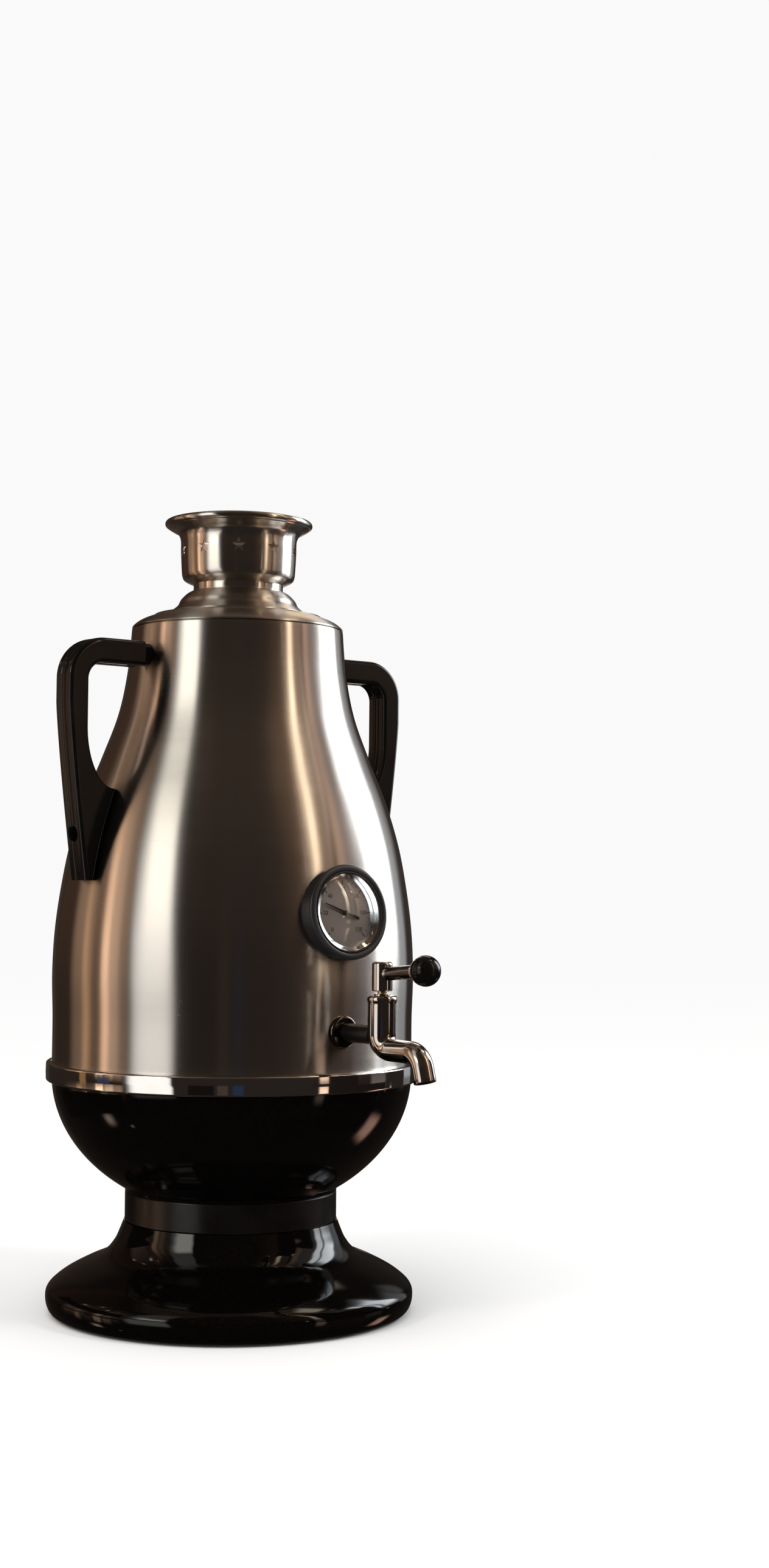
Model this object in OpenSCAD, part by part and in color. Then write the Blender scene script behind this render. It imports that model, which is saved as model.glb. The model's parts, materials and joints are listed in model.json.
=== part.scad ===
// Electric samovar: a steel water tank on a black foot, with a tap, a dial thermometer,
// two handles, a lift-off lid and a pierced crown that carries a teapot.
// Millimetres. The tank's axis is Z, the table is z = 0, the tap faces -Y, the handles lie on X.

/* [Foot and bowl] */
// Height of the foot shell
foot_h = 50; // [44:1:56]
// Radius of the foot at its widest
foot_r = 101; // [92:1:108]
// How far the foot's neck stands out from the waist ring
neck_step = 0.5; // [0:0.1:2]
// Radius of the waist ring
waist_r = 58.4; // [54:0.1:60]
// Height of the waist ring
waist_h = 16; // [12:1:24]
// Radial thickness of the waist ring
waist_t = 5; // [3:0.5:8]
// Height of the bowl, from the waist ring to the band
bowl_h = 60.4; // [50:0.2:72]
// Height of the bowl's straight collar on the waist ring
bowl_collar_h = 1.8; // [1:0.2:4]
// Wall of the enamelled foot and bowl
enamel_t = 1.5; // [1:0.1:2.5]
// Thickness of the rubber ring under the foot
rubber_t = 1.8; // [1:0.1:4]
// How far the rubber ring lies inside the foot's widest radius
rubber_inset = 10.5; // [9:0.5:18]
// Width of the rubber ring
rubber_w = 7; // [4:0.5:12]
// Thickness of the steel base plate
plate_t = 1.2; // [0.8:0.1:2]
// Diameter of the tie rod
tie_d = 8; // [6:1:10]

/* [Band and body] */
// Height of the polished band
band_h = 10.7; // [8:0.1:16]
// Radius of the band
band_r = 102.6; // [96:0.2:110]
// How far the band stands out from the body's belly
band_step = 2.6; // [1.8:0.1:4]
// Radius of the body at its mouth
mouth_r = 58.9; // [54:0.1:64]
// Height of the body above the band
body_h = 238.9; // [220:0.1:260]
// Wall of the steel body
steel_t = 1; // [0.8:0.1:1.5]
// How far the tank floor lies above the top of the band
floor_rise = 5; // [3:0.5:8]
// Wall of the tank floor
floor_t = 1.2; // [0.8:0.1:2]

/* [Lid and crown] */
// Height of the lid above the body
lid_h = 21.4; // [17:0.2:26]
// Wall of the lid and the crown
lid_t = 0.8; // [0.6:0.1:1.2]
// Depth of the lid's skirt inside the body
skirt_h = 12; // [8:1:13]
// Gap between the skirt and the body
skirt_gap = 0.6; // [0.4:0.1:1]
// Gap between the lid's rim and the body's mouth
rim_gap = 0.2; // [0.1:0.1:0.5]
// Radius of the crown's collar on the lid
collar_r = 25; // [22:0.5:27]
// Height of the crown's collar
collar_h = 4; // [3:0.5:8]
// Radius of the crown's wall
crown_r = 32; // [29:0.5:36]
// Height of the crown above its collar
crown_h = 36; // [30:1:44]
// Radius of the crown's lip
lip_r = 41.3; // [38:0.1:46]
// Radius of the bead rolled at the crown's lip
lip_bead_r = 1.9; // [1.4:0.1:2.2]
// Number of stars cut through the crown
star_count = 10; // [8:1:12]
// Size of a star, from its centre to a point
star_r = 4.2; // [3:0.1:5]
// Number of steam holes in the lid and in the crown's floor
steam_count = 6; // [4:1:8]
// Diameter of a steam hole
steam_d = 7; // [5:0.5:8]

/* [Handles] */
// How far a grip's outer face stands out beyond the body's belly
handle_out = 12; // [9:0.5:18]
// Depth of the top of a handle's arm below the body's mouth
handle_drop = 11; // [10:0.5:20]
// Height of a handle, from its lower tip to the top of its arm
handle_h = 129; // [120:1:138]
// Height above the lower tip at which the grip's inner edge meets the body
crotch_rise = 48.7; // [40:0.1:58]
// Width of a handle across the grip
handle_w = 16; // [12:0.5:18]
// Height of the arm
arm_t = 13.5; // [11:0.5:15]
// Radial thickness of the grip
grip_t = 12; // [9:0.5:13]
// Radius of a handle's outer corner
corner_r = 22; // [18:0.5:24]
// How far the outer face leans in at the tip
lean = 11; // [9:0.5:13]
// Length of the collar between a handle's arm and the body
arm_collar_h = 5.5; // [4:0.5:8]
// Diameter of that collar
arm_collar_d = 12.4; // [10:0.2:14]
// Height above the lower tip of the screw through a handle's lower end
low_screw_rise = 24; // [18:1:30]
// Diameter of the handle screws
screw_d = 4; // [3:0.5:5]
// Diameter of a screw's head
screw_head_d = 7; // [6:0.5:8]

/* [Thermometer] */
// Height of the thermometer's centre above the band
gauge_rise = 82.9; // [75:0.1:103]
// Diameter of its bezel
gauge_d = 50; // [47:0.5:54]
// How far its bezel stands off the body
gauge_proud = 7.2; // [6.6:0.2:11]
// Diameter of the opening in the bezel
window_d = 40; // [36:0.5:42]
// Length of the pointer's tip
tip_l = 13.8; // [10:0.2:16]
// Length of the pointer's tail
tail_l = 9.7; // [6:0.1:11]
// Direction of the pointer at rest, anticlockwise from the right
pointer_angle = 159; // [100:1:200]
// Length of the probe inside the tank
probe_l = 55; // [40:1:70]
// Diameter of the probe
probe_d = 8; // [6:0.5:9]

/* [Tap] */
// Height of the tap's inlet above the band
tap_rise = 21.4; // [19:0.1:33]
// Distance of the tap's barrel from the body's belly
barrel_out = 31.5; // [28:0.5:40]
// Diameter of the barrel
barrel_d = 14.6; // [13.6:0.2:17]
// Height of the barrel's top above the inlet
barrel_rise = 20.5; // [16:0.5:24]
// Diameter of the plug that turns in the barrel
plug_d = 8.4; // [7:0.2:9]
// Running clearance round the plug and its stem
run_gap = 0.05; // [0.03:0.01:0.08]
// Diameter of the plug's stem
stem_d = 4.7; // [4:0.1:5.2]
// Diameter of the spout pipe
spout_d = 11.4; // [10:0.2:12]
// Bore of the spout pipe
spout_bore = 8; // [6:0.2:8.4]
// Distance of the spout's mouth from the barrel
spout_reach = 34.5; // [31:0.5:42]
// Drop of the spout's mouth below the inlet
spout_drop = 21.2; // [20:0.1:26]
// Outward tilt of the spout's mouth
mouth_tilt = 16; // [0:1:24]
// Depth of the pipe's centre line below the inlet
pipe_drop = 6.8; // [6:0.2:8]
// Radius of the pipe's bends
bend_r = 9.8; // [8.6:0.2:10]
// Diameter of the rosette on the body
rosette_d = 23; // [20:0.5:26]
// Diameter of the black sleeve on the shank
sleeve_d = 9.6; // [9:0.2:12]
// Length of the black sleeve
sleeve_l = 10; // [8:0.5:12]
// Diameter of the shank
shank_d = 6.4; // [6:0.2:7]
// Diameter of the lever's hub
hub_d = 10.6; // [9.6:0.2:12]
// Height of the lever's hub
hub_h = 15; // [13:0.5:18]
// Diameter of the lever's arm
lever_d = 7; // [6:0.2:7.6]
// Diameter of the ball knob
knob_d = 15.6; // [14:0.2:17]
// Length of the lever from the barrel's axis to the ball's centre
lever_l = 34.2; // [30:0.2:40]
// Upward tilt of the lever
lever_tilt = 5; // [0:1:8]

/* [Heater and inlet] */
// Diameter of the heating tube
heater_d = 8; // [7:0.5:9]
// Radius of the heating loop
heater_r = 60; // [50:1:66]
// Height of the loop above the tank floor
heater_rise = 12; // [10:1:20]
// Angle between each terminal and the back of the tank
heater_gap = 20; // [18:1:30]
// Height of the centre of the power inlet above the waist ring
inlet_rise = 34; // [30:1:38]
// Width of the inlet's housing
inlet_w = 42; // [40:1:46]
// Height of the inlet's housing
inlet_h = 26; // [24:1:28]
// Width of the socket
socket_w = 24; // [22:0.5:26]
// Height of the socket
socket_h = 16; // [14:0.5:17]
// Depth of the socket
socket_depth = 15; // [12:0.5:16]

/* [Hidden] */
$fn = 96;
// Finer, where one part is shaped to the curve of another
fit_fn = 240;
// Gap between parts that are fastened face to curved face
seat_gap = 0.1;
// More than enough to cut right through
far = 300;

// ---- curves -------------------------------------------------------------------------

function unit(v) = v / norm(v);
function left_of(a, b) = let (d = unit(b - a)) [-d[1], d[0]];
function reverse(c) = [for (i = [len(c) - 1 : -1 : 0]) c[i]];
function mix(a, b, t) = a + (b - a) * t;

// The smooth curve through the points of c, in n steps from each point to the next
function smooth(c, n) = concat(
  [for (i = [0 : len(c) - 2], k = [0 : n - 1])
    let (
      t = k / n,
      a = c[max(i - 1, 0)],
      b = c[i],
      d = c[i + 1],
      e = c[min(i + 2, len(c) - 1)]
    )
    (2 * b + (d - a) * t + (2 * a - 5 * b + 4 * d - e) * t * t + (3 * b - a - 3 * d + e) * t * t * t) / 2],
  [c[len(c) - 1]]
);

// The curve c moved to its left by t
function shifted(c, t) = [for (i = [0 : len(c) - 1])
  let (
    before = left_of(c[max(i - 1, 0)], c[max(i, 1)]),
    after = left_of(c[min(i, len(c) - 2)], c[min(i + 1, len(c) - 1)]),
    m = unit(before + after)
  )
  c[i] + m * t / (m * before)];

// The outline of a sheet of thickness t that lies to the left of the curve c
function sheet(c, t) = concat(c, reverse(shifted(c, t)));

// Points on an arc about (x, y), from angle a to angle b in n steps
function arc(x, y, r, a, b, n) = [for (k = [0 : n])
  let (t = mix(a, b, k / n))
  [x + r * cos(t), y + r * sin(t)]];

// ---- heights and outlines -----------------------------------------------------------

waist_z = foot_h;
bowl_z = waist_z + waist_h;
band_z = bowl_z + bowl_h;
band_top = band_z + band_h;
body_top = band_top + body_h;
crown_z = body_top + lid_h;
crown_floor = crown_z + collar_h;
crown_top = crown_floor + crown_h;

foot_neck_r = waist_r + neck_step;

// The foot's flare and rim: shares of the way from neck to rim, and of its height
foot_shape = [
  [0, 1], [0.045, 0.9], [0.13, 0.78], [0.31, 0.65], [0.55, 0.555], [0.76, 0.46],
  [0.917, 0.335], [0.995, 0.2], [0.99, 0.09], [0.92, 0.03], [0.78, 0.018]
];
foot_curve = reverse([for (p = smooth(foot_shape, 3))
  [mix(foot_neck_r, foot_r, p[0]), foot_h * p[1]]]);
// Width of the flanges that the foot, the waist ring and the bowl press together
flange_w = 12;
rubber_r = foot_r - rubber_inset;
plate_z = rubber_t;
plate_r = rubber_r - 2;
// How far the foot's inner flange laps over the base plate
plate_lap = 8;

// The bowl is part of an ellipse, from the waist ring's radius to its own
bowl_r = band_r - 3.2;
bowl_end = acos((waist_r + 0.2) / bowl_r);
bowl_drop = (bowl_h + 4 - bowl_collar_h) / sin(bowl_end);
bowl_lip_step = 0.2;
bowl_lip_h = 4.6;
bowl_full = [for (k = [20 : -1 : 0])
  [bowl_r * cos(bowl_end * k / 20), band_z + 4 - bowl_drop * sin(bowl_end * k / 20)]];
bowl_curve = concat([[waist_r, bowl_z]], [for (p = bowl_full) if (p[1] < band_z - 0.5) p]);

// The body, from its foot inside the band: shares of the way from mouth to belly
belly_r = band_r - band_step;
body_foot = band_z + bowl_lip_h + 1;
body_shape = [0.985, 0.985, 0.999, 0.973, 0.898, 0.785, 0.607, 0.377, 0.166, 0.051, 0];
body_shape_n = len(body_shape) - 1;
body_belly = smooth([for (i = [0 : body_shape_n])
  [mix(mouth_r, belly_r, body_shape[i]), band_top + body_h * i / body_shape_n]], 4);
body_curve = concat([[body_belly[0][0], body_foot]], body_belly);
function body_radius(z) = lookup(z, [for (p = body_curve) [p[1], p[0]]]);
foot_of_body_r = body_curve[0][0];
tank_floor_z = band_top + floor_rise;

// ---- shared shapes ------------------------------------------------------------------

// The solid inside the body's outer surface, grown by gap
module body_solid(gap) {
  rotate_extrude($fn = fit_fn) polygon(concat([[0, body_foot]], shifted(body_curve, -gap), [[0, body_top]]));
}

// Children drawn along Z, laid along -Y at height z
module forward(z) {
  translate([0, 0, z]) rotate([90, 0, 0]) children();
}

// Children drawn along Z, laid along X at height z, on the side given by s
module sideways(z, s) {
  translate([0, 0, z]) rotate([0, 90 * s, 0]) children();
}

// Children drawn along Z, laid square to the body's wall at height z, where its radius is skin
module on_wall(skin, z, tilt) {
  translate([0, -skin, z]) rotate([90 - tilt, 0, 0]) children();
}

module tube(outer_r, inner_r, h) {
  difference() {
    cylinder(r = outer_r, h = h);
    translate([0, 0, -1]) cylinder(r = inner_r, h = h + 2);
  }
}

// A hexagonal nut of size a across its flats, with a bore of diameter d
module hex_nut(a, h, d) {
  difference() {
    intersection() {
      cylinder(r = a / sqrt(3), h = h, $fn = 6);
      rotate_extrude() polygon([
        [0, 0], [a / 2 - 0.3, 0], [a / sqrt(3), a * 0.09], [a / sqrt(3), h - a * 0.09],
        [a / 2 - 0.3, h], [0, h]
      ]);
    }
    translate([0, 0, -1]) cylinder(d = d, h = h + 2);
  }
}

// A rectangle of w by h with corners of radius r, about the origin
module rounded_rect(w, h, r) {
  square([w - 2 * r, h], center = true);
  square([w, h - 2 * r], center = true);
  for (x = [-1, 1], y = [-1, 1]) translate([x * (w / 2 - r), y * (h / 2 - r)]) circle(r = r);
}

// A raised-head screw with its head's underside at z = 0, its shank below and a cross slot on top
module screw(d, head_d, shank) {
  head_h = head_d * 0.32;
  difference() {
    rotate_extrude() polygon(concat(
      [[0, -shank], [d / 2 - 0.4, -shank], [d / 2, -shank + 0.4], [d / 2, 0], [head_d / 2, 0]],
      [for (a = [0 : 18 : 90]) [head_d / 2 * cos(a) * 0.98, head_h * (0.35 + 0.65 * sin(a))]]
    ));
    for (a = [0, 90])
      rotate(a) translate([-head_d * 0.28, -0.45, head_h * 0.45]) cube([head_d * 0.56, 0.9, head_h]);
  }
}

// ---- foot, waist ring and bowl ------------------------------------------------------

module foot() {
  color([0.03, 0.03, 0.03]) rotate_extrude() union() {
    polygon(sheet(foot_curve, enamel_t));
    translate([foot_neck_r - flange_w, foot_h - enamel_t]) square([flange_w, enamel_t]);
    translate([plate_r - plate_lap, plate_z + plate_t])
      square([foot_r - 2.6 - plate_r + plate_lap, enamel_t]);
  }
}

module foot_ring() {
  color([0.08, 0.08, 0.08]) rotate_extrude() translate([rubber_r - rubber_w, 0])
    polygon([
      [0.5, 0], [rubber_w - 0.5, 0], [rubber_w, 0.5], [rubber_w, rubber_t], [0, rubber_t], [0, 0.5]
    ]);
}

// The base plate's middle is raised, so that the tie rod's nut clears the table
boss_r = 16;
boss_rise = 9;
boss_slope = 9;
module base_plate() {
  color([0.75, 0.76, 0.77]) difference() {
    rotate_extrude() polygon(sheet([
      [plate_r, plate_z], [boss_r + boss_slope, plate_z], [boss_r, plate_z + boss_rise],
      [0, plate_z + boss_rise]
    ], -plate_t));
    cylinder(d = tie_d + 0.4, h = far);
  }
}

tie_nut_h = 6;
module tie_rod() {
  color([0.7, 0.7, 0.72]) translate([0, 0, plate_z + boss_rise - tie_nut_h - 1.5])
    cylinder(d = tie_d, h = tank_floor_z - floor_t - (plate_z + boss_rise - tie_nut_h - 1.5));
}

module tie_rod_nut() {
  color([0.75, 0.75, 0.76]) translate([0, 0, plate_z + boss_rise - tie_nut_h])
    hex_nut(13, tie_nut_h, tie_d + 2 * seat_gap);
}

module waist_ring() {
  edge = 0.8;
  color([0.09, 0.07, 0.06]) rotate_extrude() translate([waist_r - waist_t, waist_z])
    polygon([
      [0, 0], [waist_t - edge, 0], [waist_t, edge], [waist_t, waist_h - edge],
      [waist_t - edge, waist_h], [0, waist_h]
    ]);
}

module bowl() {
  collar = [
    [bowl_r - 0.1, band_z - 0.3], [bowl_r - bowl_lip_step, band_z + 0.3],
    [bowl_r - bowl_lip_step, band_z + bowl_lip_h]
  ];
  color([0.03, 0.03, 0.03]) difference() {
    rotate_extrude() union() {
      polygon(sheet(concat(bowl_curve, collar), enamel_t));
      translate([waist_r - flange_w, bowl_z]) square([flange_w - 0.5, enamel_t]);
    }
    translate([0, far / 2, inlet_z]) rotate([90, 0, 0]) linear_extrude(far / 2)
      rounded_rect(socket_w + 5, socket_h + 5, 3);
    for (s = [-1, 1])
      translate([s * inlet_screw_x, 0, inlet_z]) rotate([-90, 0, 0])
        cylinder(d = inlet_screw_d, h = far / 2);
  }
}

// ---- band, body and tank floor ------------------------------------------------------

band_inner_r = band_r - 2.9;
module trim_band() {
  edge = 0.7;
  ledge_z = band_z + bowl_lip_h;
  color([0.9, 0.9, 0.9]) rotate_extrude() polygon([
    [band_inner_r, band_z], [band_r - 1.4, band_z], [band_r - 0.3, band_z + edge],
    [band_r, band_z + band_h * 0.4], [band_r, band_z + band_h * 0.7], [band_r - 0.3, band_top - edge],
    [band_r - 1.4, band_top], [foot_of_body_r + 0.2, band_top], [foot_of_body_r + 0.2, band_top - 1.2],
    [band_inner_r, band_top - 1.6], [band_inner_r, body_foot],
    [foot_of_body_r - 2.2, body_foot], [foot_of_body_r - 2.2, ledge_z], [band_inner_r, ledge_z]
  ]);
}

module body_shell() {
  color([0.72, 0.7, 0.67]) difference() {
    rotate_extrude() polygon(sheet(body_curve, steel_t));
    forward(tap_z) cylinder(d = shank_d + 2 * seat_gap, h = far);
    at_gauge() translate([0, 0, -gauge_root]) cylinder(d = probe_d + 2 * seat_gap, h = 2 * gauge_root);
    for (s = [-1, 1]) {
      sideways(arm_z, s) cylinder(d = screw_d + 0.4, h = far);
      sideways(low_screw_z, s) cylinder(d = screw_d + 0.4, h = far);
    }
  }
}

floor_skirt = 8;
module tank_floor() {
  r = foot_of_body_r - steel_t - seat_gap;
  color([0.7, 0.7, 0.7]) difference() {
    rotate_extrude() polygon([
      [0, tank_floor_z], [0, tank_floor_z - floor_t], [r - floor_t, tank_floor_z - floor_t],
      [r - floor_t, tank_floor_z - floor_skirt], [r, tank_floor_z - floor_skirt], [r, tank_floor_z - 1],
      [r - 1, tank_floor_z]
    ]);
    heater_ends() translate([0, 0, -far]) cylinder(d = heater_d + 2 * seat_gap, h = 2 * far);
  }
}

// ---- heater -------------------------------------------------------------------------

heater_z = tank_floor_z + heater_rise;
heater_nut_h = 5;
heater_nut_w = 14;
heater_gasket_t = 1.5;
heater_gasket_w = 3;
heater_tail = heater_nut_h + 6;

// The places where the heating tube goes through the tank floor
module heater_ends() {
  for (s = [-1, 1]) rotate(90 + s * heater_gap) translate([heater_r, 0, 0]) children();
}

module heating_element() {
  color([0.6, 0.58, 0.55]) union() {
    translate([0, 0, heater_z]) rotate(90 + heater_gap)
      rotate_extrude(angle = 360 - 2 * heater_gap) translate([heater_r, 0]) circle(d = heater_d);
    heater_ends() {
      translate([0, 0, tank_floor_z - floor_t - heater_tail])
        cylinder(d = heater_d, h = heater_rise + floor_t + heater_tail);
      translate([0, 0, tank_floor_z + heater_gasket_t])
        cylinder(d = heater_d + 3, h = heater_rise + heater_d / 2 + 1 - heater_gasket_t);
      translate([0, 0, tank_floor_z - floor_t - heater_tail - 4]) cylinder(d = 3, h = 4);
    }
  }
}

module element_nuts() {
  color([0.8, 0.65, 0.35]) heater_ends()
    translate([0, 0, tank_floor_z - floor_t - heater_nut_h])
      hex_nut(heater_nut_w, heater_nut_h, heater_d + 2 * seat_gap);
}

module element_gaskets() {
  color([0.55, 0.2, 0.15]) heater_ends() translate([0, 0, tank_floor_z])
    tube(heater_d / 2 + heater_gasket_w, heater_d / 2 + seat_gap, heater_gasket_t);
}

// The thermal cut-out lies against the tank floor, and a sprung clip on the tie rod holds it there
cutout_x = 34;
cutout_r = 12;
cutout_h = 9;
clip_t = 1.2;
clip_z = tank_floor_z - floor_t - cutout_h - clip_t;
module thermal_cutout() {
  top = tank_floor_z - floor_t;
  color([0.85, 0.82, 0.75]) union() {
    translate([-cutout_x, 0, top - cutout_h + 2]) cylinder(r = cutout_r, h = cutout_h - 2);
    translate([-cutout_x, 0, top - cutout_h]) cylinder(r = cutout_r - 3, h = 2);
    for (s = [-1, 1])
      translate([-cutout_x - 3, s * (cutout_r + 1) - 3, top - cutout_h + 3]) cube([6, 6, 0.8]);
  }
}

module cutout_clip() {
  tab_w = 12;
  color([0.75, 0.75, 0.78]) translate([0, 0, clip_z]) difference() {
    union() {
      translate([-cutout_x - 6, -tab_w / 2, 0]) cube([cutout_x + 6, tab_w, clip_t]);
      cylinder(d = tab_w, h = clip_t);
    }
    translate([0, 0, -1]) cylinder(d = tie_d + 2 * seat_gap, h = clip_t + 2);
  }
}

module clip_nut() {
  color([0.75, 0.75, 0.76]) translate([0, 0, clip_z - 5]) hex_nut(13, 5, tie_d + 2 * seat_gap);
}

// ---- power inlet --------------------------------------------------------------------

// The bowl's outer surface at height z
function bowl_radius(z) = lookup(z, [for (p = bowl_curve) [p[1], p[0]]]);
inlet_z = bowl_z + inlet_rise;
inlet_face = bowl_radius(inlet_z + inlet_h / 2) + 4;
inlet_screw_x = (socket_w + inlet_w) / 4 + 1.6;
inlet_screw_d = 3;
inlet_screw_head_d = 5.6;
inlet_screw_l = 16;
inlet_back = inlet_face - socket_depth - 4;

module inlet_outline() {
  rounded_rect(socket_w, socket_h, 2);
}

module power_inlet() {
  color([0.05, 0.05, 0.05]) difference() {
    union() {
      difference() {
        translate([0, inlet_face, inlet_z]) rotate([90, 0, 0]) linear_extrude(22)
          rounded_rect(inlet_w, inlet_h, 5);
        rotate_extrude() polygon(concat(
          [[0, bowl_z]], shifted(bowl_curve, -seat_gap), [[bowl_r, band_z], [0, band_z]]
        ));
      }
      translate([0, inlet_face - 1, inlet_z]) rotate([90, 0, 0]) linear_extrude(inlet_face - inlet_back - 1)
        rounded_rect(socket_w + 4, socket_h + 4, 3);
    }
    translate([0, inlet_face + 1, inlet_z]) rotate([90, 0, 0]) linear_extrude(socket_depth + 1)
      inlet_outline();
    for (s = [-1, 1]) translate([s * inlet_screw_x, 0, inlet_z]) rotate([-90, 0, 0]) {
      cylinder(d = inlet_screw_d + 0.4, h = far / 2);
      translate([0, 0, inlet_face - 2.4]) cylinder(d = inlet_screw_head_d + 0.8, h = far / 2);
    }
    inlet_pin_places() cube([4.2, 60, 2.2], center = true);
  }
}

module inlet_pin_places() {
  for (p = [[-7, -2], [7, -2], [0, 2]]) translate([p[0], inlet_back, inlet_z + p[1]]) children();
}

module inlet_pins() {
  color([0.8, 0.78, 0.7]) inlet_pin_places()
    translate([-2, -6, -1]) cube([4, 6 + socket_depth, 2]);
}

module inlet_screws() {
  color([0.8, 0.8, 0.8]) for (s = [-1, 1])
    translate([s * inlet_screw_x, inlet_face - 2.4, inlet_z]) rotate([-90, 0, 0])
      screw(inlet_screw_d, inlet_screw_head_d, inlet_screw_l);
}

// ---- handles ------------------------------------------------------------------------

handle_reach = belly_r + handle_out;
handle_top = body_top - handle_drop;
handle_bottom = handle_top - handle_h;
crotch_z = handle_bottom + crotch_rise;
low_screw_z = handle_bottom + low_screw_rise;
arm_z = handle_top - arm_t / 2;
corner_x = handle_reach - corner_r;
corner_z = handle_top - corner_r;
arm_start = body_radius(arm_z) + arm_collar_h;
// The grip's outer face is upright above this height and leans in below it
lean_z = handle_top - 35;
grip_inner = handle_reach - grip_t;
curl_z = crotch_z + 33;
handle_edge = 2.4;
groove_w = 5;
groove_d = 0.7;

function grip_outer(z) = handle_reach - lean * pow(max(0, (lean_z - z) / (lean_z - handle_bottom)), 1.2);

// Where each cross-section of a handle starts and ends, as [inner x, inner z, outer x, outer z]
handle_stations = concat(
  [for (k = [0 : 3]) let (x = mix(arm_start, corner_x, k / 3)) [x, handle_top - arm_t, x, handle_top]],
  [for (k = [1 : 8])
    let (a = 90 - 90 * k / 8, inner = mix(corner_r - arm_t, corner_r - grip_t, k / 8))
    [corner_x + inner * cos(a), corner_z + inner * sin(a),
     corner_x + corner_r * cos(a), corner_z + corner_r * sin(a)]],
  [for (k = [1 : 3]) let (z = mix(corner_z, curl_z, k / 3)) [grip_inner, z, grip_outer(z), z]],
  [for (k = [1 : 7])
    let (
      a = 90 * k / 7,
      z = curl_z - (curl_z - crotch_z) * sin(a),
      x = grip_inner - (grip_inner - body_radius(crotch_z) - seat_gap) * (1 - cos(a))
    )
    [x, z, grip_outer(z), z]],
  [for (k = [1 : 12]) let (z = mix(crotch_z, handle_bottom, k / 12))
    [body_radius(z) + seat_gap, z, grip_outer(z), z]]
);

// A bar's cross-section, l by handle_w, with rounded corners and a shallow groove along each face
function bar_corner(x, y, r, a) = arc(x, y, r, a, a + 90, 3);
function bar_section(l) = let (
    w = handle_w / 2,
    r = min(handle_edge, l * 0.45),
    g = groove_w / 2,
    d = min(groove_d, l * 0.15)
  ) concat(
    [[l - d, g - 0.8], [l, g]],
    bar_corner(l - r, w - r, r, 0),
    bar_corner(r, w - r, r, 90),
    [[0, g], [d, g - 0.8], [d, 0.8 - g], [0, -g]],
    bar_corner(r, r - w, r, 180),
    bar_corner(l - r, r - w, r, 270),
    [[l, -g], [l - d, 0.8 - g]]
  );

// The skin through rings of n points each, closed by a flat fan at both ends
module skin(rings) {
  n = len(rings[0]);
  m = len(rings);
  polyhedron(
    points = [for (ring = rings, p = ring) p],
    faces = concat(
      [for (i = [0 : m - 2], k = [0 : n - 1]) [i * n + k, (i + 1) * n + k, i * n + (k + 1) % n]],
      [for (i = [0 : m - 2], k = [0 : n - 1])
        [i * n + (k + 1) % n, (i + 1) * n + k, (i + 1) * n + (k + 1) % n]],
      [[for (k = [0 : n - 1]) k]],
      [[for (k = [n - 1 : -1 : 0]) (m - 1) * n + k]]
    )
  );
}

module handle_bar() {
  skin([for (s = handle_stations)
    let (
      a = [s[0], s[1]],
      b = [s[2], s[3]],
      l = norm(b - a),
      u = (b - a) / l
    )
    [for (p = bar_section(l)) [a[0] + u[0] * p[0], p[1], a[1] + u[1] * p[0]]]]);
}

low_screw_seat = 4;
module handle(s) {
  color([0.05, 0.045, 0.04]) rotate(s < 0 ? 180 : 0) difference() {
    handle_bar();
    sideways(arm_z, 1) cylinder(d = screw_d + 2 * seat_gap, h = arm_start + arm_screw_l);
    sideways(low_screw_z, 1) {
      cylinder(d = screw_d + 0.4, h = far);
      translate([0, 0, body_radius(low_screw_z) + low_screw_seat]) cylinder(d = screw_head_d + 0.4, h = far);
    }
  }
}

module handle_left() {
  handle(-1);
}

module handle_right() {
  handle(1);
}

module handle_collars() {
  color([0.04, 0.04, 0.04]) for (s = [-1, 1]) difference() {
    sideways(arm_z, s) difference() {
      cylinder(d = arm_collar_d, h = arm_start);
      cylinder(d = screw_d + 0.4, h = far);
    }
    body_solid(seat_gap);
  }
}

// The upper screws go in from inside the tank's neck
arm_screw_l = 14;
module handle_upper_screws() {
  seat = body_radius(arm_z) - steel_t - 0.6;
  color([0.8, 0.8, 0.8]) for (s = [-1, 1])
    sideways(arm_z, s) translate([0, 0, seat]) rotate([180, 0, 0])
      screw(screw_d, screw_head_d, arm_start + arm_screw_l - 1 - seat);
}

low_nut_h = 3.2;
low_nut_w = 7;
module handle_lower_screws() {
  seat = body_radius(low_screw_z) + low_screw_seat;
  color([0.8, 0.8, 0.8]) for (s = [-1, 1])
    sideways(low_screw_z, s) translate([0, 0, seat])
      screw(screw_d, screw_head_d, low_screw_seat + steel_t + low_nut_h + 3);
}

module handle_nuts() {
  seat = body_radius(low_screw_z) - steel_t - 0.4;
  color([0.8, 0.8, 0.8]) for (s = [-1, 1])
    sideways(low_screw_z, s) translate([0, 0, seat - low_nut_h - 1])
      hex_nut(low_nut_w, low_nut_h, screw_d + 2 * seat_gap);
}

// ---- thermometer --------------------------------------------------------------------

// Heights in this section are measured from the body's wall, along the thermometer's axis
gauge_z = band_top + gauge_rise;
gauge_skin = body_radius(gauge_z);
gauge_tilt = atan((body_radius(gauge_z - 6) - body_radius(gauge_z + 6)) / 12);
bezel_h = 2.8;
bezel_z = gauge_proud - bezel_h;
case_floor = 0.9;
dial_t = 0.8;
dial_face = case_floor + 0.3 + dial_t;
case_r = gauge_d / 2 - 0.8;
pocket_r = window_d / 2 + 0.4;
// Depth to which the case is shaped to the round wall
gauge_root = 8;
arbor_d = 1.6;
arbor_l = 6;
pointer_lift = 1.2;

module at_gauge() {
  on_wall(gauge_skin, gauge_z, gauge_tilt) children();
}

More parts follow.
